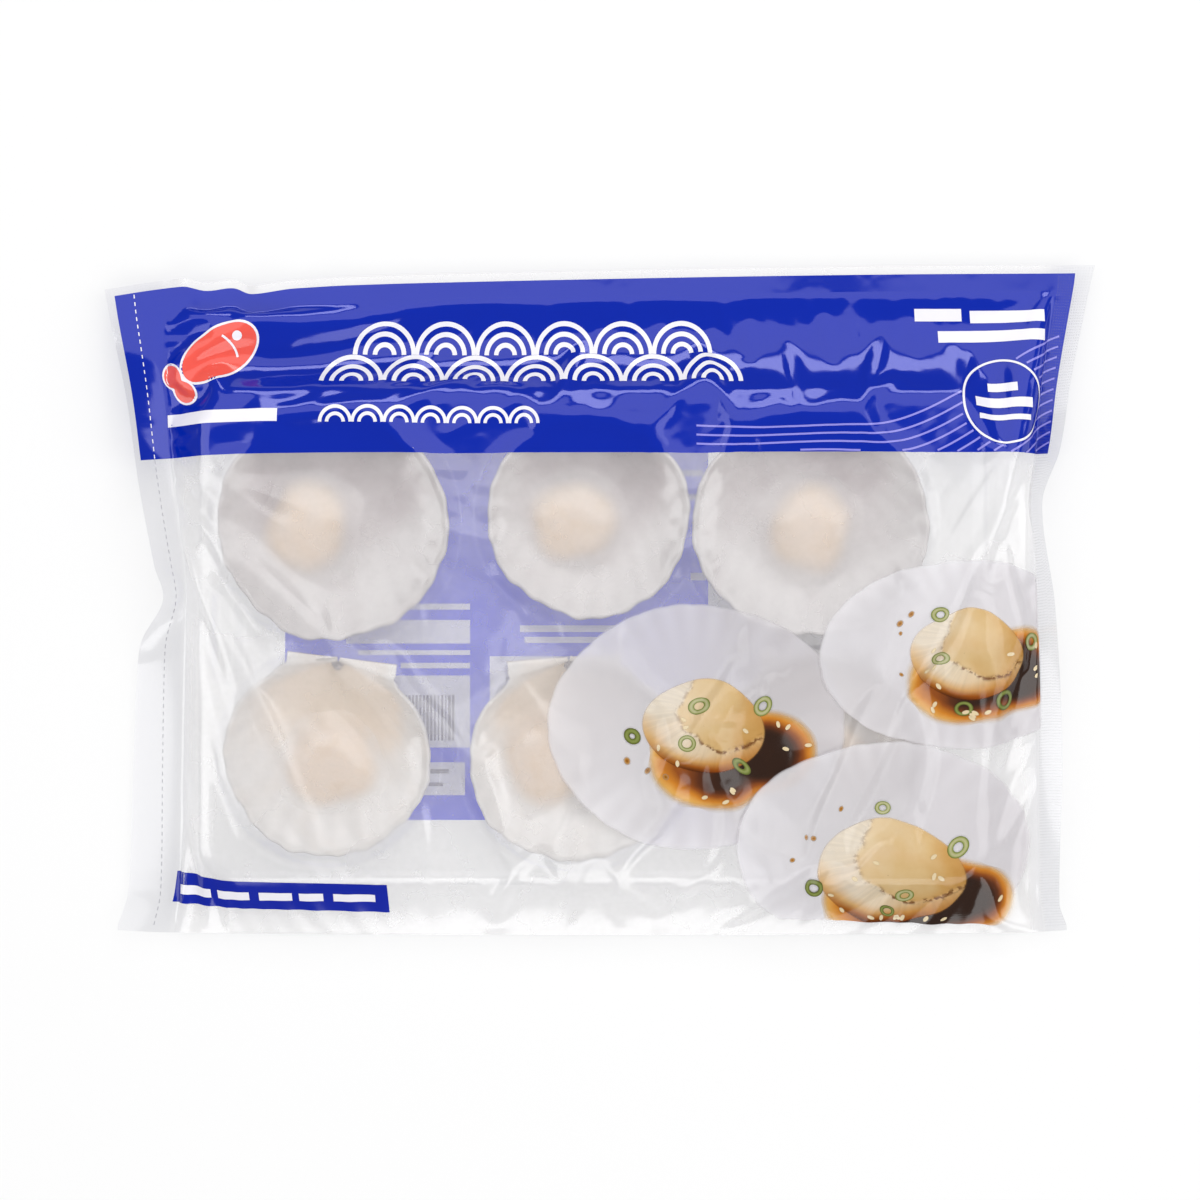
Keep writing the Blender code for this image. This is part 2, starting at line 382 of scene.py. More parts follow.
meat_paints = [meat_material("meat_in_grey_shell", GREY_STAIN),
               meat_material("meat_in_beige_shell", BEIGE_STAIN)]
meat_pieces = []
for number, (meat, shell) in enumerate(zip(MEATS, SHELLS), 1):
    middle_x, middle_y, radius, length, turn, seed = meat
    draw = np.random.default_rng(seed)
    phase = draw.uniform(0, 2 * math.pi, 6)
    turns, out = np.meshgrid(np.linspace(0, 2 * math.pi, 121), np.linspace(0, 1, 56))
    along = turns - math.radians(turn)
    outline = 1 / np.sqrt(np.cos(along) ** 2 / length + np.sin(along) ** 2 * length)
    outline *= (1 + 0.03 * np.cos(4 * turns + phase[0]) + 0.035 * np.sin(3 * turns + phase[1])
                + 0.02 * np.sin(5 * turns + phase[2]))
    edge = COLLAR_REACH + 0.16 * np.sin(3 * turns + phase[3]) + 0.07 * np.sin(8 * turns + phase[4])
    distance = out * edge  # in drum radii
    x = middle_x + distance * outline * radius * np.cos(turns)
    y = middle_y + distance * outline * radius * np.sin(turns)
    floor_z, stained = shell_inside(x, y, shell)
    drum = 0.4 * (1 - smooth_step(distance, 0.80, 1.5)) + 0.6 * (1 - smooth_step(out, 0.2, 1.0))
    crown = MEAT_TOP - 0.7 * distance**2 + 0.15 * np.sin(5 * distance + 2 * turns) * distance
    crown = np.maximum(crown, floor_z)
    z = floor_z + (crown - floor_z) * drum - 0.25 * smooth_step(out, 0.93, 1.0)
    flesh = 0.88 * (1 - smooth_step(distance, 0.86, 1.28)) + 0.12 * (1 - smooth_step(out, 0.4, 1.0))
    marks = {"muscle": flesh, "stain": stained * 0.7}
    piece = grid_object(f"scallop_meat_{number}", np.stack([x, y, z], axis=-1), marks)
    welded(piece)
    fit_to_bag(piece, meat_paints[number > 3])
    meat_pieces.append(piece)

# --------------------------------------------------------------------------------------------------
# Hinge ligament. A dark plug of springy ligament stays in the pit at each umbo where the other valve was
# cut away. It is a bead of brown-violet gristle about 3 mm across.
# --------------------------------------------------------------------------------------------------
LIGAMENT_IN, LIGAMENT_SUNK = 2.6, 0.7  # in from the umbo, and below the rim
LIGAMENT_SIZE = (1.9, 1.5, 1.0)  # half its width, half its depth and its height


def ligament_material():
    """Dried ligament: dark violet brown, rough and crumbly."""
    material, tree, output = new_material("hinge_ligament")
    coords = own_coords(tree)
    cloud = noise(tree, coords, 1100.0, 3.0)
    colour = ramp_between(tree, cloud, [(0.35, "#4a4148"), (0.55, "#8d8389"), (0.75, "#b9aba6")])
    return finished(material, tree, output, shader(tree, "Principled", Base_Color=colour, Roughness=0.7))


gristle = ligament_material()
for number, shell in enumerate(SHELLS, 1):
    draw = np.random.default_rng(shell[6] + 20)
    umbo_x, umbo_y = shell_place(0.0, LIGAMENT_IN, shell)
    turns, down = np.meshgrid(np.linspace(0, 2 * math.pi, 25), np.linspace(0, math.pi / 2, 9))
    lumps = 1 + 0.16 * np.sin(3 * turns + draw.uniform(0, 6)) * np.sin(down)
    x = umbo_x + LIGAMENT_SIZE[0] * np.sin(down) * np.cos(turns) * lumps
    y = umbo_y + LIGAMENT_SIZE[1] * np.sin(down) * np.sin(turns) * lumps
    z = SHELL_RIM - LIGAMENT_SUNK + LIGAMENT_SIZE[2] * np.cos(down)
    piece = grid_object(f"hinge_ligament_{number}", np.stack([x, y, z], axis=-1))
    welded(piece)
    fit_to_bag(piece, gristle)

# --------------------------------------------------------------------------------------------------
# Tray. A clear tray vacuum formed from 0.4 mm PET sheet, with a flat flange and one cavity for each
# shell. Its corners and cavity walls are rounded by the mould, and they show as faint grey lines and soft
# glints.
# --------------------------------------------------------------------------------------------------
TRAY_LEFT, TRAY_RIGHT, TRAY_BOTTOM, TRAY_TOP, TRAY_CORNER = -131.8, 127.2, -93.5, 70.0, 13.0
TRAY_FLANGE = 15.4
TRAY_FLOOR = 0.9
CAVITY_GAP = 3.6  # from a shell's margin to the cavity's top edge
WALL_RUN = 4.0  # a cavity wall's run in plan
BOWL_RUN, BOWL_RISE = 13.0, 4.6  # the cavity's floor curves up by this much over this run inside its wall
# The denesting recesses at both ends of the flange: left, right, bottom and top, and their depth.
RECESSES = ((-128.5, -117.0, -27.5, 4.5), (112.0, 123.5, -30.0, 2.0))
RECESS_DEPTH = 6.5
TRAY_GRID = 1.0


def rounded_distance(x, y, left, right, bottom, top, corner):
    """Signed distance from a rounded rectangle, negative inside."""
    dx = np.abs(x - (left + right) / 2) - (right - left) / 2 + corner
    dy = np.abs(y - (bottom + top) / 2) - (top - bottom) / 2 + corner
    return np.hypot(np.maximum(dx, 0), np.maximum(dy, 0)) + np.minimum(np.maximum(dx, dy), 0) - corner


def blurred(height, passes):
    """A grid of heights with each evened out with its neighbours."""
    for _ in range(passes):
        padded = np.pad(height, 1, mode="edge")
        beside = padded[:-2, 1:-1] + padded[2:, 1:-1] + padded[1:-1, :-2] + padded[1:-1, 2:]
        height = (beside + 2 * height) / 6
    return height


def tray_heights(x, y):
    """Height of the tray at world points, and how far outside its outline they are."""
    height = np.full_like(x, TRAY_FLANGE)
    for middle_x, middle_y, diameter, *_ in SHELLS:
        distance = np.hypot(x - middle_x, y - middle_y) - diameter / 2 - CAVITY_GAP
        bowl = 1 - smooth_step(-distance, WALL_RUN, WALL_RUN + BOWL_RUN)
        floor_z = TRAY_FLOOR + BOWL_RISE * bowl
        height = np.minimum(height, floor_z + (TRAY_FLANGE - floor_z) * smooth_step(distance, -WALL_RUN, 0))
    for left, right, bottom, top in RECESSES:
        distance = rounded_distance(x, y, left, right, bottom, top, 4.0)
        height = np.minimum(height, TRAY_FLANGE - RECESS_DEPTH * smooth_step(-distance, 0, 3.0))
    height = blurred(height, 2)
    outside = rounded_distance(x, y, TRAY_LEFT, TRAY_RIGHT, TRAY_BOTTOM, TRAY_TOP, TRAY_CORNER)
    height -= 1.2 * smooth_step(outside, -4.6, -3.4) + 2.6 * smooth_step(outside, -1.6, 0.0)
    return height, outside


def mirrored_share(tree, face_on, weight=1.0, **links):
    """How much of the light a clear skin mirrors, from either side: little face on, and all of it edge on."""
    facing = add_node(tree, "ShaderNodeLayerWeight", Blend=0.5, **links).outputs["Facing"]
    rise = 0.5 * weight * (1 - face_on)  # half the true rise, so that steep creases stay clear
    return calc(tree, "MULTIPLY_ADD", calc(tree, "POWER", facing, 5.0), rise, weight * face_on)


def clear_pet():
    """Clear PET sheet: see-through, glossy, grey only where it is seen edge on."""
    material, tree, output = new_material("clear_pet")
    edge = add_node(tree, "ShaderNodeLayerWeight", Blend=0.25).outputs["Facing"]
    tint = ramp_between(tree, edge, [(0.0, "#ffffff"), (0.6, "#f6f6f8"), (1.0, "#cfcfd6")])
    through = shader(tree, "Transparent", Color=tint)
    shine = shader(tree, "Anisotropic", Color=WHITE, Roughness=0.12)
    return finished(material, tree, output, over(tree, mirrored_share(tree, 0.04), through, shine))


tray_x, tray_y = np.meshgrid(np.arange(TRAY_LEFT, TRAY_RIGHT + TRAY_GRID / 2, TRAY_GRID),
                             np.arange(TRAY_BOTTOM, TRAY_TOP + TRAY_GRID / 2, TRAY_GRID))
tray_z, outside = tray_heights(tray_x, tray_y)
# The outermost points are drawn in to the flange's rounded outline, so its edge is smooth.
pull = np.maximum(outside, 0)
corner_x = np.clip(tray_x, TRAY_LEFT + TRAY_CORNER, TRAY_RIGHT - TRAY_CORNER)
corner_y = np.clip(tray_y, TRAY_BOTTOM + TRAY_CORNER, TRAY_TOP - TRAY_CORNER)
away = np.maximum(np.hypot(tray_x - corner_x, tray_y - corner_y), 1e-6)
tray_x, tray_y = tray_x - pull * (tray_x - corner_x) / away, tray_y - pull * (tray_y - corner_y) / away
tray_points = np.stack([tray_x, tray_y, tray_z], axis=-1)
tray = grid_object("clear_tray", tray_points)
fit_to_bag(tray, clear_pet())

# --------------------------------------------------------------------------------------------------
# Back film. The same laminate behind the tray, flat under it and drawn up to the seals round it. It meets
# the front film along the side and top seals and in the fold at the bottom.
# --------------------------------------------------------------------------------------------------
# The bag's outline. Sides: (height up the bag, distance from its middle line). Ends: the other way round.
LEFT_EDGE = [(-109, -159), (-98, -156), (-60, -154.5), (-24, -153), (-12, -151), (2, -143), (14, -145.8),
             (43, -151), (76, -155.4), (106, -161.4), (116, -163.4)]
RIGHT_EDGE = [(-109, 153.8), (-101, 151.4), (-49, 152), (0, 149.4), (35, 144.8), (53, 151), (76, 155),
              (106, 161.2), (116, 163.4)]
TOP_EDGE = [(-163.4, 102.4), (-138, 106), (-130, 104.6), (-121, 105.6), (-115, 103.6), (-100, 105.6),
            (-60, 107.3), (72, 109.9), (163.4, 110.6)]
BOTTOM_EDGE = [(-159, -108.8), (-140, -109.8), (0, -110.6), (140, -109.8), (154, -108.8)]
BOTTOM_LEVEL, TOP_LEVEL = -110.6, 106.0
# Where each side seal meets the body, and how far its outer edge stands above that line.
LEFT_SEAL = [(-109, -140.5), (-96, -138.2), (-60, -137.4), (8, -136.6), (26, -138.4), (52, -141),
             (103, -143.5)]
RIGHT_SEAL = [(-109, 146.5), (-95, 144.8), (20, 143.2), (35, 141.2), (53, 143.5), (76, 145.5), (110, 150)]
LEFT_LIFT = [(-109, 0.5), (-97, -3), (-22, -3), (-9, 4), (2, 10), (14, 10), (45, 8.5), (76, 7), (94, 2),
             (103, -1)]
RIGHT_LIFT = [(-109, 0.5), (-97, 1), (-49, 4), (0, 5.5), (35, 9), (53, 5), (76, 1), (110, -2)]
SEAM_HEIGHT, SEAM_RUN, FOLD_HEIGHT, FOOT_LIFT = 6.0, 22.0, 3.4, 2.0
TOP_SEAL, TOP_SEAL_DROOP = 9.5, 3.2
SEAM_GATHER = 0.055  # the left seal takes up this much film low down
# The flat sheet: widths of the left seal, body and right seal, and height of the body.
FLAT_LEFT, FLAT_BODY, FLAT_RIGHT, FLAT_HEIGHT = 20.0, 297.0, 13.4, 219.0
BACK_GRID = 2.0
BACK_REST = 0.15


def curve_through(stations, at):
    """Smooth curve through (position, value) stations, read at positions, and level beyond its ends."""
    place = np.array([s[0] for s in stations], float)
    value = np.array([s[1] for s in stations], float)
    at = np.clip(at, place[0], place[-1])
    slope = np.empty_like(value)
    slope[1:-1] = (value[2:] - value[:-2]) / (place[2:] - place[:-2])
    slope[0] = (value[1] - value[0]) / (place[1] - place[0])
    slope[-1] = (value[-1] - value[-2]) / (place[-1] - place[-2])
    i = np.clip(np.searchsorted(place, at, side="right") - 1, 0, len(place) - 2)
    span = place[i + 1] - place[i]
    u = (at - place[i]) / span
    rise = u * u * (3 - 2 * u)
    return (value[i] + (value[i + 1] - value[i]) * rise + span * slope[i] * u * (1 - u) ** 2
            - span * slope[i + 1] * u * u * (1 - u))


def seam_level(y):
    """Height of the seals' inner line, which comes down to the folded edge at the bag's bottom corners."""
    return FOLD_HEIGHT + (SEAM_HEIGHT - FOLD_HEIGHT) * np.clip((y - BOTTOM_LEVEL) / SEAM_RUN, 0, 1)


def outline_places(across, up):
    """World x and y of film points. Across runs -1..0 over the left seal, 0..1 over the body and 1..2 over
    the right seal. Up runs 0..1 over the body and 1..2 over the top seal."""
    level = BOTTOM_LEVEL + (TOP_LEVEL - BOTTOM_LEVEL) * np.minimum(up, 1) + 10.0 * np.maximum(up - 1, 0)
    left, left_in = curve_through(LEFT_EDGE, level), curve_through(LEFT_SEAL, level)
    right, right_in = curve_through(RIGHT_EDGE, level), curve_through(RIGHT_SEAL, level)
    x = left_in + (right_in - left_in) * np.clip(across, 0, 1)
    x = x + (left - left_in) * np.maximum(-across, 0) + (right - right_in) * np.maximum(across - 1, 0)
    bottom, top = curve_through(BOTTOM_EDGE, x), curve_through(TOP_EDGE, x)
    body = np.minimum(up, 1)
    body = body + SEAM_GATHER * body * (1 - body) * (1 - np.clip(across, 0, 1)) ** 2
    y = bottom + (top - TOP_SEAL - bottom) * body + TOP_SEAL * np.maximum(up - 1, 0)
    return x, y


def back_heights(x, y, to_seam, to_fold):
    """The back film: flat under the tray, then up to the seals in shallow gathers."""
    outside = rounded_distance(x, y, TRAY_LEFT, TRAY_RIGHT, TRAY_BOTTOM, TRAY_TOP, TRAY_CORNER)
    outside = np.maximum(outside, 0)
    side = outside / np.maximum(outside + np.minimum(to_seam, to_fold), 1e-6)
    fold_share = to_seam / np.maximum(to_seam + to_fold, 1e-6)
    edge = seam_level(y) + (FOLD_HEIGHT - seam_level(y)) * fold_share
    gathers = 0.7 * np.sin(x / 6.3 + 1.7 * np.sin(x / 23.0)) * np.sin(math.pi * side)
    return BACK_REST + (edge - BACK_REST) * side**1.6 + np.maximum(gathers, -0.4) * side


def film_shine(tree, under, roughness, normal, weight=1.0):
    """Lays the film's glossy skin, which mirrors the lights at both its faces, over what is under it."""
    shine = shader(tree, "Anisotropic", Color=WHITE, Roughness=roughness, Normal=normal)
    return over(tree, mirrored_share(tree, 0.062, weight, Normal=normal), under, shine)


def crinkle_normal(tree, strength, kind="FBM"):
    """Fine creases and orange peel, too small for the mesh."""
    coords = own_coords(tree)
    warp = add_node(tree, "ShaderNodeTexNoise", Vector=coords, Scale=60.0, Detail=2.0).outputs["Color"]
    reach = (0.02, 0.02, 0.02)
    bent = add_node(tree, "ShaderNodeVectorMath", {"operation": "MULTIPLY_ADD"}, i0=warp, i1=reach,
                    i2=coords).outputs[0]
    folds = add_node(tree, "ShaderNodeTexNoise", {"noise_type": kind}, Vector=bent, Scale=75.0, Detail=3.0)
    return bumped(tree, folds.outputs["Fac"], strength, 0.0006)


def clear_laminate(name, frost, gloss, tint):
    """Clear film, milky where the freezer has frosted its inside: see-through and glossy."""
    material, tree, output = new_material(name)
    normal = crinkle_normal(tree, 0.06)
    milk = shader(tree, "Diffuse", Color=linear("#f1efee"))
    hazy = over(tree, frost(tree), shader(tree, "Transparent", Color=tint(tree)), milk)
    return finished(material, tree, output, film_shine(tree, hazy, 0.19, normal, gloss))


def frost_clouds(tree, low, high):
    """How frosted the film is, in soft clouds."""
    coords = own_coords(tree)
    cloud = noise(tree, coords, 38.0, 4.0, Roughness=0.6)
    return ranged(tree, cloud, 0.3, 0.7, low, high)


def between_seals(tree):
    """1 on the open film and 0 on the side seals, read across the flat sheet."""
    flat = add_node(tree, "ShaderNodeUVMap", {"uv_map": "flat"}).outputs[0]
    across = add_node(tree, "ShaderNodeSeparateXYZ", i0=flat).outputs["X"]
    left = ranged(tree, across, FLAT_LEFT - 3.0, FLAT_LEFT + 5.0)
    right = ranged(tree, across, FLAT_LEFT + FLAT_BODY + 3.0, FLAT_LEFT + FLAT_BODY - 5.0)
    return calc(tree, "MULTIPLY", left, right)


def front_frost(tree):
    """Frost over the whole window, but none on the welded seals."""
    return calc(tree, "MULTIPLY", between_seals(tree), frost_clouds(tree, 0.24, 0.36))


def back_frost(tree):
    """Hardly any frost, because the tray keeps the ice off the back."""
    return frost_clouds(tree, 0.02, 0.06)


def back_tint(tree):
    """Clear film takes hardly any of the light."""
    return linear("#fcfcfd")


def front_tint(tree):
    """The welded seals let a little less light through than the open film."""
    return ramp_between(tree, between_seals(tree), [(0.0, "#f1f1f3"), (1.0, "#fdfdfd")])


across, up = np.meshgrid(np.linspace(0, 1, int(FLAT_BODY / BACK_GRID)),
                         np.linspace(0, 1, int(FLAT_HEIGHT / BACK_GRID)))
x, y = outline_places(across, up)
left_in, _ = outline_places(np.zeros_like(across), up)
right_in, _ = outline_places(np.ones_like(across), up)
fold_y, seal_y = curve_through(BOTTOM_EDGE, x), curve_through(TOP_EDGE, x) - TOP_SEAL
z = back_heights(x, y, np.minimum(np.minimum(x - left_in, right_in - x), seal_y - y), y - fold_y)
back = grid_object("back_film", np.stack([x, y, z], axis=-1), flip=True)
fit_to_bag(back, clear_laminate("clear_back_laminate", back_frost, 0.6, back_tint))

# --------------------------------------------------------------------------------------------------
# Back print. A wide blue panel with white label boxes, bar codes and rows of small print, here as plain
# bars. It faces down, and from the front it shows through the bag in reverse, paled by the two films and
# the tray.
# --------------------------------------------------------------------------------------------------
PANEL = (-104.2, 35.8, -72.8, 92.0)  # left, right, bottom, top
WHITE_BOXES = [(-98.0, -43.0, -48.8, -25.0), (-84.0, -44.7, -64.6, -53.7), (-36.5, 6.0, -62.0, -18.6),
               (35.8, 78.0, -60.0, 7.7)]
PANEL_BARS = [(-75.0, -43.0, -3.2, -1.2), (-84.0, -43.0, -14.4, -6.6), (-80.0, -43.0, -18.2, -16.6),
              (-66.0, -43.0, -22.6, -20.8), (-26.5, 12.5, -10.6, -8.4), (-25.0, 9.0, -14.2, -12.2),
              (24.0, 34.0, 41.0, 43.0), (26.0, 34.0, 33.0, 35.0), (30.0, 35.0, 6.5, 9.0)]
SMALL_PRINT = [(-31.0, -20.0, -27.5, -25.6), (-33.0, -20.0, -31.4, -29.8), (-33.0, -24.0, -36.5, -35.0),
               (37.8, 45.0, -5.0, -4.0), (37.8, 48.0, -9.4, -8.2), (-60.0, -50.0, -57.4, -56.0),
               (-66.0, -52.0, -61.6, -60.4),
               (62.0, 76.0, -16.4, -15.0), (62.0, 76.0, -22.4, -21.4)]

CODE_SPAN, CODE_MIDDLE = (-66.7, -48.6), -39.0  # the bar code's ends and the height of its middle
CODE_BARS = (1.15, 0.62, 15.0, 0.6)  # pitch, width, height and unevenness


def rectangle(left, right, bottom, top, step=3.0):
    """A grid of places over a rectangle."""
    columns, rows = max(int((right - left) / step), 1) + 1, max(int((top - bottom) / step), 1) + 1
    return np.stack(np.meshgrid(np.linspace(left, right, columns), np.linspace(bottom, top, rows)), axis=-1)


def plain_ink(name, colour, cloud=0.04, roughness=0.16, glow=None):
    """Flexo ink on film, with the faint unevenness of its lay-down, under the film's gloss. The glow is the
    share of light that the thin ink lets through, and the colour it gives that light."""
    material, tree, output = new_material(name)
    coords = own_coords(tree)
    lay = noise(tree, coords, 240.0, 3.0)
    tone = ranged(tree, lay, 0.0, 1.0, 1 - cloud, 1 + cloud)
    shade = mixed(tree, 1.0, linear(colour), tone, "MULTIPLY")
    surface = shader(tree, "Principled", Base_Color=shade, Roughness=roughness, IOR=1.5)
    if glow:
        surface = over(tree, glow[0], surface, shader(tree, "Translucent", Color=linear(glow[1])))
    return finished(material, tree, output, surface)


def back_print(name, boxes, level, material, flip):
    """Rectangles of ink on the back film, at a level over it in mm."""
    flats = [rectangle(*box) for box in boxes]
    patches = [np.dstack([flat, back_at(flat[..., 0], flat[..., 1]) + level]) for flat in flats]
    piece = joined_patches(name, patches, flip=flip)
    fit_to_bag(piece, material)


def back_at(x, y):
    """Height of the back film at world points."""
    level = np.clip((y - BOTTOM_LEVEL) / (TOP_LEVEL - BOTTOM_LEVEL), 0, 1)
    left_in, _ = outline_places(np.zeros_like(x), level)
    right_in, _ = outline_places(np.ones_like(x), level)
    to_seam = np.minimum(np.minimum(x - left_in, right_in - x), curve_through(TOP_EDGE, x) - TOP_SEAL - y)
    to_fold = y - curve_through(BOTTOM_EDGE, x)
    return back_heights(x, y, np.maximum(to_seam, 0.01), np.maximum(to_fold, 0.01))


def dash_tree():
    """Geometry Nodes: flat dashes laid along every path of a mesh of edges, facing along its film_normal."""
    tree = bpy.data.node_groups.new("dashes_on_paths", "GeometryNodeTree")
    tree.interface.new_socket("Geometry", in_out="INPUT", socket_type="NodeSocketGeometry")
    for label in ("Pitch", "Dash Length", "Dash Width", "Unevenness"):
        tree.interface.new_socket(label, in_out="INPUT", socket_type="NodeSocketFloat")
    tree.interface.new_socket("Material", in_out="INPUT", socket_type="NodeSocketMaterial")
    tree.interface.new_socket("Geometry", in_out="OUTPUT", socket_type="NodeSocketGeometry")
    given = add_node(tree, "NodeGroupInput").outputs
    curve = add_node(tree, "GeometryNodeMeshToCurve", Mesh=given["Geometry"])
    points = add_node(tree, "GeometryNodeResampleCurve", {"mode": "LENGTH"}, Curve=curve.outputs[0],
                      Length=given["Pitch"])
    dash = add_node(tree, "GeometryNodeMeshGrid", Size_X=given["Dash Length"], Size_Y=given["Dash Width"],
                    Vertices_X=2, Vertices_Y=2)
    normal = add_node(tree, "GeometryNodeInputNamedAttribute", {"data_type": "FLOAT_VECTOR"},
                      Name="film_normal")
    tangent = add_node(tree, "GeometryNodeInputTangent")
    facing = add_node(tree, "FunctionNodeAxesToRotation", i0=normal.outputs[0], i1=tangent.outputs[0])
    most = add_node(tree, "ShaderNodeMath", i0=1.0, i1=given["Unevenness"])
    least = add_node(tree, "ShaderNodeMath", {"operation": "SUBTRACT"}, i0=1.0, i1=given["Unevenness"])
    uneven = add_node(tree, "FunctionNodeRandomValue", i2=least.outputs[0], i3=most.outputs[0], Seed=5)
    scale = add_node(tree, "ShaderNodeCombineXYZ", X=uneven.outputs[1], Y=1.0, Z=1.0)
    laid = add_node(tree, "GeometryNodeInstanceOnPoints", Points=points.outputs[0], Instance=dash.outputs[0],
                    Rotation=facing.outputs[0], Scale=scale.outputs[0])
    real = add_node(tree, "GeometryNodeRealizeInstances", Geometry=laid.outputs[0])
    inked = add_node(tree, "GeometryNodeSetMaterial", Geometry=real.outputs[0], Material=given["Material"])
    add_node(tree, "NodeGroupOutput", Geometry=inked.outputs[0])
    return tree


def set_inputs(modifier, values):
    """Sets a Geometry Nodes modifier's inputs by their names."""
    for item in modifier.node_group.interface.items_tree:
        if item.in_out == "INPUT" and item.name in values:
            modifier[item.identifier] = values[item.name]


dashes = dash_tree()


def dash_rows(name, paths, normals, sizes, material):
    """Dashes along paths of points in mm. Sizes are their pitch, length and width in mm and unevenness."""
    mesh = bpy.data.meshes.new(name)
    counts = np.cumsum([0] + [len(path) for path in paths])
    edges = [(i, i + 1) for first, last in zip(counts, counts[1:]) for i in range(first, last - 1)]
    mesh.from_pydata((np.concatenate(paths) * MM).tolist(), edges, [])
    facing = mesh.attributes.new("film_normal", "FLOAT_VECTOR", "POINT")
    facing.data.foreach_set("vector", np.concatenate(normals).astype(np.float32).ravel())
    piece = in_scene(name, mesh)
    rows = piece.modifiers.new("rows", "NODES")
    rows.node_group = dashes
    pitch, length, width, unevenness = sizes
    set_inputs(rows, {"Pitch": pitch * MM, "Dash Length": length * MM, "Dash Width": width * MM,
                      "Unevenness": unevenness, "Material": material})
    made_plain(piece)
    fit_to_bag(piece)
    return piece


def bar_code(name, level, up, material):
    """The label's bar code: upright bars of uneven width along one path."""
    x = np.linspace(*CODE_SPAN, 20)
    y = np.full_like(x, CODE_MIDDLE)
    path = np.stack([x, y, back_at(x, y) + level], axis=-1)
    normals = np.broadcast_to((0.0, 0.0, up), path.shape)
    dash_rows(name, [path], [normals], CODE_BARS, material)


INK_STEP = 0.12
seen_blue = plain_ink("blue_ink_seen_through_film", "#4557ff", 0.05, 0.5, (0.5, "#5064ff"))
seen_white = plain_ink("white_ink_seen_through_film", "#f7f7fc", 0.02, 0.5, (0.2, "#ffffff"))
seen_grey = plain_ink("grey_ink_seen_through_film", "#7d7894", 0.04, 0.5)
outer_blue = plain_ink("blue_ink_on_back", "#00219c", glow=(0.65, "#5269ff"))
outer_white = plain_ink("white_ink_on_back", "#f2f2f4", glow=(0.5, "#ffffff"))
outer_grey = plain_ink("dark_ink_on_back", "#3a3c55")
back_print("back_panel_inside", [PANEL], INK_STEP, seen_blue, False)
back_print("back_boxes_inside", WHITE_BOXES + PANEL_BARS, 2 * INK_STEP, seen_white, False)
back_print("back_small_print_inside", SMALL_PRINT, 3 * INK_STEP, seen_grey, False)
bar_code("bar_code_inside", 3 * INK_STEP, 1.0, seen_grey)
back_print("back_panel_outside", [PANEL], -0.04, outer_blue, True)
back_print("back_boxes_outside", WHITE_BOXES + PANEL_BARS, -0.08, outer_white, True)
back_print("back_small_print_outside", SMALL_PRINT, -0.12, outer_grey, True)
bar_code("bar_code_outside", -0.14, -1.0, outer_grey)

# --------------------------------------------------------------------------------------------------
# Front film. One sheet of clear laminate, about 0.07 mm thick, printed on its inside. It is cut flat,
# sealed at three edges and folded at the fourth, so it is draped over the filled tray here as a sheet
# that won't stretch.
# --------------------------------------------------------------------------------------------------
BAND_FLAT = 164.0  # the printed header starts this far above the fold, along the film
FILM_GRID = 1.0
FILM_REST = 0.35  # gap between the film and what it lies on
# The grids that the film is draped in: cell, steps, passes a step, stiffness against bends, fall a step.
DRAPE_GRIDS = ((6.0, 120, 24, 0.3, 0.03), (3.0, 70, 20, 0.2, 0.010), (1.5, 40, 16, 0.15, 0.003))
# The highest creases keep this share of their rise over a level, or over a little room above the filling.
CREASE_LEVEL, CREASE_SHARE, CREASE_ROOM = 18.2, 0.3, 0.8


def seal_heights(across, up, x, y):
    """Height of the flat seals round the body. The side seals curl up at their pinch. The top one waves."""
    on_left, on_right = np.maximum(-across, 0), np.maximum(across - 1, 0)
    on_top = np.maximum(up - 1, 0)
    foot = FOOT_LIFT * np.clip(1 - (y - curve_through(BOTTOM_EDGE, x)) / 14.0, 0, 1)
    droop = TOP_SEAL_DROOP * (0.35 + 0.65 * smooth_step(x, -150.0, -30.0))
    height = seam_level(y) - droop * on_top * (1 - np.minimum(on_left + on_right, 1))
    height = height + curve_through(LEFT_LIFT, y) * on_left**1.3
    height = height + curve_through(RIGHT_LIFT, y) * on_right**1.3
    height = height + foot * np.minimum(on_left + on_right, 1)
    wave = 1.5 * np.exp(-((x + 122) / 34.0) ** 2) * np.sin((x + 140) / 3.9)  # ripples over the fish
    wave = wave + 0.35 * np.sin(x / 17.0) * np.sin(x / 41.0)
    return height + wave * on_top * np.clip(1 - on_left, 0, 1)


def height_map(pieces, reach=(-175.0, 175.0, -120.0, 120.0)):
    """Highest point of the pieces in each square millimetre, as a grid, with its low corner."""
    left, right, bottom, top = reach
    heights = np.full((int(top - bottom), int(right - left)), 0.3)
    for piece in pieces:
        places = np.empty(len(piece.data.vertices) * 3)
        piece.data.vertices.foreach_get("co", places)
        places = places.reshape(-1, 3) / MM
        column, row = np.int32(places[:, 0] - left), np.int32(places[:, 1] - bottom)
        np.maximum.at(heights, (row, column), places[:, 2])
    for _ in range(2):
        spread = heights.copy()
        for down, along in ((0, 1), (0, -1), (1, 0), (-1, 0)):
            spread = np.maximum(spread, np.roll(heights, (down, along), (0, 1)))
        heights = spread
    return blurred(heights, 4), left + 0.5, bottom + 0.5


def read_map(heights, left, bottom, x, y):
    """Bilinear height at world points."""
    fx = np.clip(x - left, 0, heights.shape[1] - 1.001)
    fy = np.clip(y - bottom, 0, heights.shape[0] - 1.001)
    ix, iy = fx.astype(np.int32), fy.astype(np.int32)
    fx, fy = fx - ix, fy - iy
    low = heights[iy, ix] * (1 - fx) + heights[iy, ix + 1] * fx
    high = heights[iy + 1, ix] * (1 - fx) + heights[iy + 1, ix + 1] * fx
    return low * (1 - fy) + high * fy


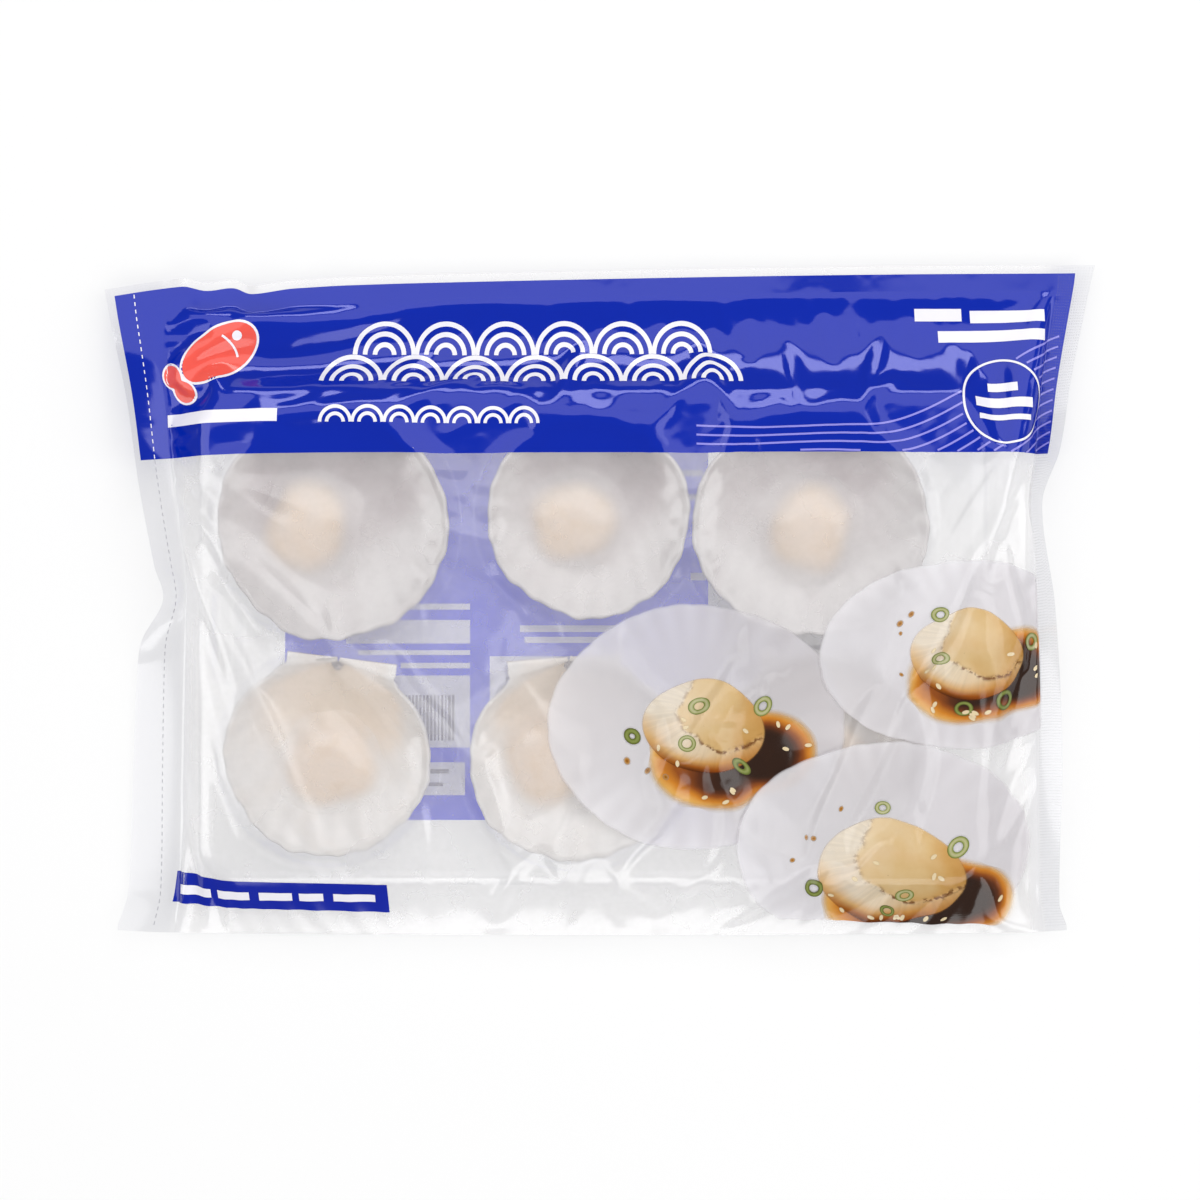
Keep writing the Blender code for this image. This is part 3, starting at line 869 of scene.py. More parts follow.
def hold_apart(first, second, free_first, free_second, rest, stiffness, only_push=False):
    """Moves pairs of film points along the line between them, towards their flat distance."""
    gap = second - first
    length = np.sqrt((gap * gap).sum(-1)) + 1e-9
    error = length - rest
    if only_push:
        error = np.minimum(error, 0)
    move = (stiffness * error / length / (free_first + free_second + 1e-9))[..., None] * gap
    first += free_first[..., None] * move
    second -= free_second[..., None] * move


def film_pass(film, free, flat_x, flat_y, bend):
    """One pass over the film's threads: along, up, on both diagonals, and over two cells against bends."""
    def hold(first, second, rest, stiffness, only_push=False):
        hold_apart(film[first], film[second], free[first], free[second], rest, stiffness, only_push)

    every, low, high = slice(None), slice(None, -1), slice(1, None)
    for s in (0, 1):
        near, far = slice(s, -1, 2), slice(s + 1, None, 2)
        hold((every, near), (every, far), flat_x[:, s::2], 1.0)
        hold((near, every), (far, every), flat_y[s::2], 1.0)
        across = (flat_x[:-1] + flat_x[1:])[s::2] / 2
        along = (flat_y[:, :-1] + flat_y[:, 1:])[s::2] / 2
        slant = np.hypot(across, along)
        hold((near, low), (far, high), slant, 0.45)
        hold((near, high), (far, low), slant, 0.45)
    two_x, two_y = flat_x[:, :-1] + flat_x[:, 1:], flat_y[:-1] + flat_y[1:]
    for s in range(4):
        near, far = slice(s, -2, 4), slice(s + 2, None, 4)
        hold((every, near), (every, far), two_x[:, s::4], bend, True)
        hold((near, every), (far, every), two_y[s::4], bend, True)


def resampled(values, rows, columns):
    """A grid read at other counts of rows and columns, on smooth curves through its points."""
    def weights(old, new):
        at = np.linspace(0, old - 1, new)
        i = np.minimum(at.astype(int), old - 2)
        t = at - i
        table = np.zeros((new, old))
        for step, share in ((-1, -t / 2 + t**2 - t**3 / 2), (0, 1 - 2.5 * t**2 + 1.5 * t**3),
                            (1, t / 2 + 2 * t**2 - 1.5 * t**3), (2, -t**2 / 2 + t**3 / 2)):
            np.add.at(table, (np.arange(new), np.clip(i + step, 0, old - 1)), share)
        return table
    tall = np.tensordot(weights(values.shape[0], rows), values, axes=(1, 0))
    return np.einsum("rjk,cj->rck", tall, weights(values.shape[1], columns))


def flat_shares(up, across):
    """How much film there is between the seals, as a share of the sheet, which they gather a little."""
    sideways = 1 - 0.030 * (1 - smooth_step(up, 0.0, 0.22)) - 0.008 * smooth_step(up, 0.8, 1.0)
    upwards = 1 - 0.055 * (1 - smooth_step(across, 0, 0.16)) - 0.03 * smooth_step(across, 0.86, 1)
    return sideways, upwards


def draped_film(support, map_left, map_bottom):
    """The body of the front film, laid flat over the pack and let down on it in grids, coarse to fine."""
    def lowest(film):
        return read_map(support, map_left, map_bottom, film[..., 0], film[..., 1]) + FILM_REST

    draw = np.random.default_rng(5)
    film = None
    for cell, steps, passes, bend, fall in DRAPE_GRIDS:
        rows, columns = int(FLAT_HEIGHT / cell) + 1, int(FLAT_BODY / cell) + 1
        across, up = np.meshgrid(np.linspace(0, 1, columns), np.linspace(0, 1, rows))
        x, y = outline_places(across, up)
        held = np.stack([x, y, seal_heights(across, up, x, y)], axis=-1)
        if film is None:
            film = held.copy()
            lifted = read_map(support, map_left, map_bottom, x, y) + 3.0
            film[..., 2] = np.maximum(film[..., 2], lifted) + draw.uniform(-3.0, 3.0, x.shape)
        else:
            film = resampled(film, rows, columns)
            film[..., 2] += draw.uniform(-0.08, 0.08, x.shape)
        edge = np.zeros((rows, columns), bool)
        edge[[0, -1]] = edge[:, [0, -1]] = True
        film[edge] = held[edge]
        free = np.where(edge, 0.0, 1.0)
        sideways, upwards = flat_shares(up, across)
        flat_x = (FLAT_BODY / (columns - 1) * sideways)[:, 1:]
        flat_y = (FLAT_HEIGHT / (rows - 1) * upwards)[1:]
        before = film.copy()
        for _ in range(steps):
            speed = (film - before) * 0.9
            before = film.copy()
            film = film + speed * free[..., None]
            film[..., 2] -= fall * free
            for turn in range(passes):
                film_pass(film, free, flat_x, flat_y, bend)
                if turn % 3 == 2:
                    film[..., 2] = np.where(free > 0, np.maximum(film[..., 2], lowest(film)), film[..., 2])
            floor_z = lowest(film)
            touching = (film[..., 2] <= floor_z + 0.02) & (free > 0)
            film[..., 2] = np.where(touching, floor_z, film[..., 2])
            film[touching, :2] = before[touching, :2] + 0.5 * (film[touching, :2] - before[touching, :2])
    return film


def lines_through(*stops):
    """Grid lines at (position, cells up to it) stops, so that a line falls on every stop."""
    lines = [np.array([stops[0][0]], float)]
    for (start, _), (end, cells) in zip(stops, stops[1:]):
        lines.append(np.linspace(start, end, cells + 1)[1:])
    return np.concatenate(lines)


def read_grid(grid, flat_u, flat_v):
    """Film points at flat positions, read between the grid lines."""
    column = np.interp(flat_u, film_u, np.arange(len(film_u)))
    row = np.interp(flat_v, film_v, np.arange(len(film_v)))
    i, j = np.minimum(row.astype(int), len(film_v) - 2), np.minimum(column.astype(int), len(film_u) - 2)
    a, b = (row - i)[..., None], (column - j)[..., None]
    return (grid[i, j] * (1 - a) * (1 - b) + grid[i, j + 1] * (1 - a) * b
            + grid[i + 1, j] * a * (1 - b) + grid[i + 1, j + 1] * a * b)


support, map_left, map_bottom = height_map([*shell_pieces, *meat_pieces, tray, back])
film_body = draped_film(support, map_left, map_bottom)

# The whole sheet: the draped body with its flat seals round it. Grid lines fall on the edges of the print.
MARGIN_LEFT, MARGIN_RIGHT, MARGIN_TOP = 2.9, 6.2, 2.7
SHEET_WIDTH, SHEET_HEIGHT = FLAT_LEFT + FLAT_BODY + FLAT_RIGHT, FLAT_HEIGHT + TOP_SEAL
cells_across, cells_up = int(FLAT_BODY / FILM_GRID), int(FLAT_HEIGHT / FILM_GRID)
film_u = lines_through((0, 0), (MARGIN_LEFT, 4), (FLAT_LEFT, 17), (FLAT_LEFT + FLAT_BODY, cells_across),
                       (SHEET_WIDTH - MARGIN_RIGHT, 8), (SHEET_WIDTH, 8))
film_v = lines_through((0, 0), (FLAT_HEIGHT, cells_up), (SHEET_HEIGHT - MARGIN_TOP, 6), (SHEET_HEIGHT, 4))
across = np.interp(film_u, [0, FLAT_LEFT, FLAT_LEFT + FLAT_BODY, SHEET_WIDTH], [-1, 0, 1, 2])
up = np.interp(film_v, [0, FLAT_HEIGHT, SHEET_HEIGHT], [0, 1, 2])
across, up = np.meshgrid(across, up)
x, y = outline_places(across, up)
film_grid = np.stack([x, y, seal_heights(across, up, x, y)], axis=-1)
body_rows, body_columns = cells_up + 1, cells_across + 1
first_column = int(np.searchsorted(film_u, FLAT_LEFT))
film_body = resampled(film_body, body_rows, body_columns)
film_body[1:-1, 1:-1, 2] = blurred(film_body[..., 2], 3)[1:-1, 1:-1]
held_up = read_map(support, map_left, map_bottom, film_body[..., 0], film_body[..., 1]) + CREASE_ROOM
ceiling = np.maximum(held_up, CREASE_LEVEL)
film_body[..., 2] -= (1 - CREASE_SHARE) * np.maximum(film_body[..., 2] - ceiling, 0)
film_grid[:body_rows, first_column:first_column + body_columns] = film_body
flat_places = np.stack(np.meshgrid(film_u, film_v), axis=-1)


def blue_laminate():
    """Ultramarine ink under glossy film, with a lavender cast wherever a light is mirrored."""
    material, tree, output = new_material("blue_ink_under_film")
    normal = crinkle_normal(tree, 0.50, "RIDGED_MULTIFRACTAL")
    surface = shader(tree, "Principled", Base_Color=linear("#0024a4"), Roughness=0.09, IOR=1.5, Normal=normal,
                     Specular_Tint=linear("#cfd0ff"), Specular_IOR_Level=0.8)
    return finished(material, tree, output, surface)


def film_piece(name, keep, material):
    """The part of the sheet's grid that keep marks, as one mesh."""
    piece = grid_object(name, film_grid, flat=flat_places)
    work = bmesh.new()
    work.from_mesh(piece.data)
    work.faces.ensure_lookup_table()
    unwanted = [face for face, kept in zip(work.faces, keep.ravel()) if not kept]
    bmesh.ops.delete(work, geom=unwanted, context="FACES")
    work.to_mesh(piece.data)
    work.free()
    fit_to_bag(piece, material)
    return piece


cell_u, cell_v = np.meshgrid((film_u[1:] + film_u[:-1]) / 2, (film_v[1:] + film_v[:-1]) / 2)
printed = (cell_u > MARGIN_LEFT) & (cell_u < SHEET_WIDTH - MARGIN_RIGHT)
printed &= (cell_v > BAND_FLAT) & (cell_v < SHEET_HEIGHT - MARGIN_TOP)
window_film = clear_laminate("clear_front_laminate", front_frost, 1.0, front_tint)
film_piece("front_film_header", printed, blue_laminate())
film_piece("front_film_window", ~printed, window_film)

# --------------------------------------------------------------------------------------------------
# Header print. White and lavender ink on the blue band: a coral fish, rows of plain arcs, plain bars, a
# ringed badge and a sheaf of swelling lines. It is printed flat, so it bends with every crease of the
# film.
# --------------------------------------------------------------------------------------------------
PRINT_LIFT = 0.10  # an ink layer's height over the film, drawn thicker than it is
BLOB_HOLE = 0.004  # round shapes are grids of rings that end this near their middle, in radii
BAND_BOTTOM, BAND_RIGHT = 48.2, 151.0
FISH = (-124.0, 81.0, 12.6, 7.6, 38.0)  # middle, half length, half depth, tilt in degrees
SCALE_ROWS = [(-82.3, 72.0, 7, 20.0, (9.5, 6.3, 3.1), 1.5), (-72.3, 82.3, 6, 20.0, (9.5, 6.3, 3.1), 1.5),
              (-86.6, 57.0, 7, 10.2, (4.8, 2.6), 1.1)]  # first middle, foot, count, pitch, radii, stroke
BARS = [(104.8, 119.4, 92.2, 96.0), (122.0, 144.4, 91.6, 95.4), (111.8, 144.4, 85.6, 89.2),
        (-141.0, -104.5, 57.2, 61.2)]
BADGE = (130.0, 65.6, 12.6, 13.8)  # middle, half width, half height
BADGE_BARS = [(125.6, 134.8, 69.0, 71.8), (121.2, 139.0, 63.6, 66.8), (122.0, 138.2, 59.4, 61.2)]


def surface_normals(grid):
    """Normals of a grid of points."""
    along, upward = np.gradient(grid, axis=1), np.gradient(grid, axis=0)
    normal = np.cross(along, upward)
    return normal / np.maximum(np.linalg.norm(normal, axis=-1, keepdims=True), 1e-9)


def powers(x, y):
    """The terms of a cubic in x and y, in decimetres."""
    x, y = np.asarray(x) / 100, np.asarray(y) / 100
    return np.stack([np.ones_like(x), x, y, x * y, x * x, y * y, x * x * y, x * y * y, x**3, y**3], axis=-1)


film_normals = surface_normals(film_grid)
film_powers = powers(film_grid[..., 0], film_grid[..., 1]).reshape(-1, 10)
to_flat = np.linalg.lstsq(film_powers, flat_places.reshape(-1, 2), rcond=None)[0]


def flat_place(x, y):
    """Where on the flat sheet a print lies that should show at world x and y."""
    return powers(x, y) @ to_flat


def on_film(flat, lift):
    """World points on the creased front film at flat positions, lifted off it by the ink's layer."""
    u, v = flat[..., 0], flat[..., 1]
    return read_grid(film_grid, u, v) + lift * read_grid(film_normals, u, v)


def bar(left, right, bottom, top, step=1.2):
    """A printed bar that shows over this rectangle."""
    flat = rectangle(left, right, bottom, top, step)
    return flat_place(flat[..., 0], flat[..., 1])


def blob(middle, reach, rings=10, around=48, hole=BLOB_HOLE):
    """A round shape as rings from its rim in to its hole. Its reach is a function of the angle."""
    angle, share = np.meshgrid(np.linspace(0, 2 * math.pi, around + 1), np.linspace(1, hole, rings))
    far = reach(angle) * share
    return flat_place(middle[0] + far * np.cos(angle), middle[1] + far * np.sin(angle))


def ellipse_reach(half_x, half_y, tilt=0.0):
    """An ellipse's reach at an angle."""
    def reach(angle):
        turned = angle - math.radians(tilt)
        return half_x * half_y / np.hypot(half_y * np.cos(turned), half_x * np.sin(turned))
    return reach


def stroke(x, y, width):
    """A printed line of even width along a path."""
    across = np.stack([-np.gradient(y), np.gradient(x)], axis=-1)
    across /= np.maximum(np.linalg.norm(across, axis=-1, keepdims=True), 1e-9)
    sides = np.array([0.5, 0.0, -0.5])[:, None, None] * width
    path = np.stack([x, y], axis=-1)[None] + sides * across[None]
    return flat_place(path[..., 0], path[..., 1])


def front_print(name, flats, material, lift=PRINT_LIFT, marks=None):
    """Patches of ink on the front film, given as flat places."""
    piece = joined_patches(name, [on_film(flat, lift) for flat in flats], marks, flats)
    fit_to_bag(piece, material)
    return piece


white_ink = plain_ink("white_ink", "#efedf4", 0.02, 0.12)
lavender_ink = plain_ink("lavender_ink", "#8f8be0", 0.03, 0.12)
coral_ink = plain_ink("coral_ink", "#ee5a4e", 0.05, 0.12)
blue_ink = plain_ink("blue_ink", "#08209e", 0.03, 0.12)

fish_x, fish_y, half_length, half_depth, tilt = FISH
nose = np.array([math.cos(math.radians(tilt)), math.sin(math.radians(tilt))])
side = np.array([-nose[1], nose[0]])


def fish_shape(swell):
    """Body and tail of the fish, swelled for the white line round it."""
    body = blob((fish_x, fish_y), ellipse_reach(half_length + swell, half_depth + swell, tilt), 8, 64)
    foot = np.array([fish_x, fish_y]) - nose * (half_length + 3.6)
    tail = blob(foot, lambda a: swell + 4.6 + 2.4 * np.cos(2 * (a - math.radians(tilt + 90))), 6, 40)
    return [body, tail]


front_print("fish_outline", fish_shape(0.8), white_ink)
front_print("fish", fish_shape(0.0), coral_ink, 2 * PRINT_LIFT)
eye = np.array([fish_x, fish_y]) + nose * 7.4 + side * 1.6
bend = np.radians(np.linspace(-50, 50, 20))
gill = np.array([fish_x, fish_y])[:, None] + nose[:, None] * (2.2 + 2.4 * np.cos(bend))
gill = gill + side[:, None] * 5.6 * np.sin(bend)
features = [blob(eye, ellipse_reach(1.5, 1.5), 4, 20), stroke(gill[0], gill[1], 0.7)]
front_print("fish_eye", features, white_ink, 3 * PRINT_LIFT)

scale_lines = []
for first, foot, count, pitch, radii, width in SCALE_ROWS:
    angle = np.radians(np.linspace(0, 180, 31))
    for middle in first + pitch * np.arange(count):
        for radius in radii:
            arc_x, arc_y = middle + radius * np.cos(angle), foot + radius * np.sin(angle)
            scale_lines.append(stroke(arc_x, arc_y, width))
front_print("scale_pattern", scale_lines, white_ink)
front_print("header_bars", [bar(*box) for box in BARS], white_ink)
turn = np.linspace(0, 2 * math.pi, 97)
ring = stroke(BADGE[0] + BADGE[2] * np.cos(turn), BADGE[1] + BADGE[3] * np.sin(turn), 0.7)
front_print("badge", [ring] + [bar(*box) for box in BADGE_BARS], white_ink, 2 * PRINT_LIFT)
swells = []
for number in range(12):
    line_x = np.linspace(32.0, BAND_RIGHT, 120)
    rise = smooth_step(line_x, 86.0 + 2.0 * number, 160.0)
    line_y = (56.5 - 2.7 * number) * (1 - rise) + (88.0 - 3.3 * number) * rise
    line_y = line_y + 0.5 * np.sin(line_x / 11.0 + number / 3)
    inside = line_y > BAND_BOTTOM + 0.5
    inside &= np.hypot((line_x - BADGE[0]) / BADGE[2], (line_y - BADGE[1]) / BADGE[3]) > 1.03
    runs = np.split(np.arange(120), np.nonzero(np.diff(inside.astype(int)))[0] + 1)
    swells += [stroke(line_x[run], line_y[run], 0.62) for run in runs if inside[run[0]] and len(run) > 3]
front_print("swell_lines", swells, lavender_ink)

# --------------------------------------------------------------------------------------------------
# Weight box. A small blue strip at the foot of the bag, in the same ink as the header, with a row of
# plain white bars.
# --------------------------------------------------------------------------------------------------
# The box's corners, round from its lower left, and the ends of its bars, which slant with it.
BOX_CORNERS = ((-141.0, -99.4), (-70.6, -103.4), (-71.0, -92.6), (-139.8, -89.6))
BOX_BARS = ((-137.2, -126.6), (-124.4, -114.6), (-111.6, -101.4), (-99.2, -91.6), (-88.4, -75.0))
BOX_SPAN, BAR_FEET, BAR_HEADS = (-139.0, -72.0), (-96.6, -99.4), (-93.6, -96.6)


def slanted(corners, step=1.2):
    """A four-cornered patch between points given round it."""
    first, second, third, fourth = (np.array(c, float) for c in corners)
    a, b = np.meshgrid(np.linspace(0, 1, int(np.linalg.norm(second - first) / step) + 2),
                       np.linspace(0, 1, int(np.linalg.norm(fourth - first) / step) + 2))
    a, b = a[..., None], b[..., None]
    places = (first * (1 - a) + second * a) * (1 - b) + (fourth * (1 - a) + third * a) * b
    return flat_place(places[..., 0], places[..., 1])


front_print("weight_box", [slanted(BOX_CORNERS)], blue_ink)
box_bars = []
for left, right in BOX_BARS:
    foot = np.interp((left, right), BOX_SPAN, BAR_FEET)
    head = np.interp((left, right), BOX_SPAN, BAR_HEADS)
    box_bars.append(slanted(((left, foot[0]), (right, foot[1]), (right, head[1]), (left, head[0]))))
front_print("weight_bars", box_bars, white_ink, 2 * PRINT_LIFT)

# --------------------------------------------------------------------------------------------------
# Seal marks. The left seal has a tear line of pricked dashes, and the right seal is crimped by a fine
# waffle jaw, whose facets show as rows of faint painted glints.
# --------------------------------------------------------------------------------------------------
TEAR_LINE = (12.6, 9.4)  # in from the left edge, at the fold and at the top
TEAR_DASHES = (2.45, 1.3, 0.36, 0.1)  # pitch, length, width and unevenness
CRIMP_DASHES = (0.95, 0.42, 0.36, 0.0)


def seal_rows(name, rows, sizes, material):
    """Dashes along lines of the flat sheet, each given as its points' flat places."""
    paths = [on_film(row, PRINT_LIFT) for row in rows]
    normals = [read_grid(film_normals, row[:, 0], row[:, 1]) for row in rows]
    dash_rows(name, paths, normals, sizes, material)


def tear_line(low, high):
    """The tear line's flat places between two heights."""
    height = np.linspace(low, high, 120)
    return np.stack([np.interp(height, [0, SHEET_HEIGHT], TEAR_LINE), height], axis=-1)


def crimp_glint():
    """The crimped film's tiny facets: clear, with a faint white painted on as their glints."""
    material, tree, output = new_material("crimped_film_painted_glint")
    # Painted glint: a tenth of white diffuse stands in for the light that the facets catch.
    sheen = shader(tree, "Diffuse", Color=linear("#dcdce6"))
    return finished(material, tree, output, over(tree, 0.10, shader(tree, "Transparent"), sheen))


seal_rows("tear_line_on_band", [tear_line(BAND_FLAT + 1, SHEET_HEIGHT - 4)], TEAR_DASHES, white_ink)
pricked = plain_ink("pricked_film", "#b4b3b9")
seal_rows("tear_line_below", [tear_line(3.0, BAND_FLAT - 1)], TEAR_DASHES, pricked)
crimps = []
for column in np.arange(SHEET_WIDTH - FLAT_RIGHT + 1.4, SHEET_WIDTH - 0.5, CRIMP_DASHES[0]):
    height = np.linspace(2.0, SHEET_HEIGHT - 1.0, 180)
    crimps.append(np.stack([np.full_like(height, column), height], axis=-1))
seal_rows("crimp_marks", crimps, CRIMP_DASHES, crimp_glint())

# --------------------------------------------------------------------------------------------------
# Serving picture. Solid ink on the right half of the front: pale shells, each with a seared scallop in
# brown sauce under rings of green onion and sesame. It is drawn as flat fields of colour with soft edges.
# --------------------------------------------------------------------------------------------------
CUT_RIGHT, CUT_BOTTOM = 145.0, -106.0
# One row each: middle, half width, half height and bright side of the pictured shell; middle, half width
# and half height of the meat; middle of its sauce, and the sauce's reach every 30 degrees from the right,
# anticlockwise.
PLATES = [
    ((31.5, -41.5), 48.5, 40.0, 200, (34.3, -41.6), 20.2, 15.4, (46.0, -54.0),
     (25, 26, 21, 18, 22, 30, 31, 25, 18, 15, 13, 17)),
    ((118.0, -18.0), 47.0, 31.0, 140, (119.2, -18.3), 18.2, 15.0, (127.0, -29.0),
     (25, 27, 24, 17, 20, 27, 28, 22, 15, 12, 12, 16)),
    ((93.0, -81.0), 47.5, 34.5, 170, (94.6, -88.7), 23.0, 17.6, (106.0, -96.0),
     (30, 22, 16, 15, 20, 28, 33, 30, 22, 20, 20, 24)),
]


def cut_to_picture(middle, reach):
    """A reach that stops at the picture's straight right and bottom edges."""
    def limited(angle):
        far = reach(angle)
        rightward, downward = np.cos(angle), -np.sin(angle)
        to_right = (CUT_RIGHT - middle[0]) / np.maximum(rightward, 0.01)
        to_bottom = (middle[1] - CUT_BOTTOM) / np.maximum(downward, 0.01)
        far = np.where(rightward > 0.01, np.minimum(far, to_right), far)
        return np.where(downward > 0.01, np.minimum(far, to_bottom), far)
    return limited


def reach_through(stations):
    """A smooth closed reach through values at even turns from the right, anticlockwise."""
    stations = np.array(stations, float)
    waves = np.fft.rfft(stations) / len(stations)

    def reach(angle):
        far = np.full(np.shape(angle), waves[0].real)
        for order in range(1, len(waves)):
            share = 1.0 if 2 * order == len(stations) else 2.0
            wave = waves[order].real * np.cos(order * angle) - waves[order].imag * np.sin(order * angle)
            far = far + share * wave
        return far
    return reach


def mottled(tree, value, amount, scale):
    """A value made uneven by soft noise."""
    shift = calc(tree, "MULTIPLY_ADD", noise(tree, own_coords(tree), scale, 3.0), 2 * amount, -amount)
    return calc(tree, "ADD", value, shift, clamp=True)


def glossed(tree, colour, glow=0.25):
    """Glossy ink that lets a share of the light through and thins out to nothing along its soft edge."""
    ink = shader(tree, "Principled", Base_Color=colour, Roughness=0.12, IOR=1.5)
    glowing = over(tree, glow, ink, shader(tree, "Translucent", Color=colour))
    return over(tree, value_of(tree, "laid"), shader(tree, "Transparent"), glowing)


def toned_ink(name, stops, amount=0.1, scale=160.0, glow=0.25):
    """Process ink whose colour follows the mesh's tone value, with a soft mottle."""
    material, tree, output = new_material(name)
    colour = ramp_between(tree, mottled(tree, value_of(tree, "tone"), amount, scale), stops)
    return finished(material, tree, output, glossed(tree, colour, glow))


def pictured_meat_ink():
    """Process ink for cooked meat: cream fibres, a peach top, and brown at its foot and round its top."""
    material, tree, output = new_material("pictured_meat_ink")
    coords = own_coords(tree)
    side = ramp_between(tree, mottled(tree, value_of(tree, "tone"), 0.08, 220.0),
                        [(0.0, "#f1e8da"), (0.35, "#efddc0"), (0.7, "#e0b981"), (1.0, "#c28843")])
    streaks = add_node(tree, "ShaderNodeCombineXYZ", X=value_of(tree, "turn"),
                       Y=value_of(tree, "reach")).outputs[0]
    fibre = ranged(tree, noise(tree, streaks, 5.0, 2.0), 0.35, 0.65, 0.94, 1.05)
    side = mixed(tree, 1.0, side, fibre, "MULTIPLY")
    top = ramp_between(tree, mottled(tree, value_of(tree, "tone"), 0.26, 95.0),
                       [(0.1, "#f0d9b2"), (0.4, "#e5c48d"), (0.65, "#d8aa66"), (0.95, "#c48a3c")])
    body = mixed(tree, value_of(tree, "top"), side, top)
    dotted = ranged(tree, noise(tree, coords, 620.0, 2.0), 0.46, 0.56)
    toasted = mixed(tree, calc(tree, "MULTIPLY", dotted, value_of(tree, "toast")), body, linear("#74421a"))
    foot = ramp_between(tree, value_of(tree, "foot"),
                        [(0.0, "#ffffff"), (0.5, "#efcf9c"), (0.85, "#b8762f"), (1.0, "#70401a")])
    return finished(material, tree, output, glossed(tree, mixed(tree, 1.0, toasted, foot, "MULTIPLY")))


SHELL_TONES = [(0.0, "#cdc8ca"), (0.35, "#dcd8db"), (0.7, "#e7e4e7"), (1.0, "#f1eff2")]
SAUCE_TONES = [(0.0, "#dcc59a"), (0.12, "#d9a656"), (0.30, "#c37a26"), (0.50, "#8a4818"), (0.68, "#562b14"),
               (0.86, "#381f12"), (1.0, "#2c190f")]
ONION_TONES = [(0.0, "#3a2c1c"), (0.2, "#565229"), (0.42, "#6f7a36"), (0.62, "#8d9850"), (0.82, "#b3b57c"),
               (1.0, "#c6c498")]
shell_ink = toned_ink("pictured_shell_ink", SHELL_TONES, 0.1, 60.0, 0.36)
sauce_ink = toned_ink("pictured_sauce_ink", SAUCE_TONES, 0.12, 130.0, 0.0)
seared_ink = pictured_meat_ink()
onion_ink = toned_ink("pictured_onion_ink", ONION_TONES, 0.14, 300.0)
amber_ink = toned_ink("pictured_amber_ink", [(0.0, "#c2b7a4"), (0.4, "#c08a3c"), (1.0, "#8e5218")], 0.1)
sesame_ink = plain_ink("sesame_ink", "#d9c6a0", 0.08, 0.12)

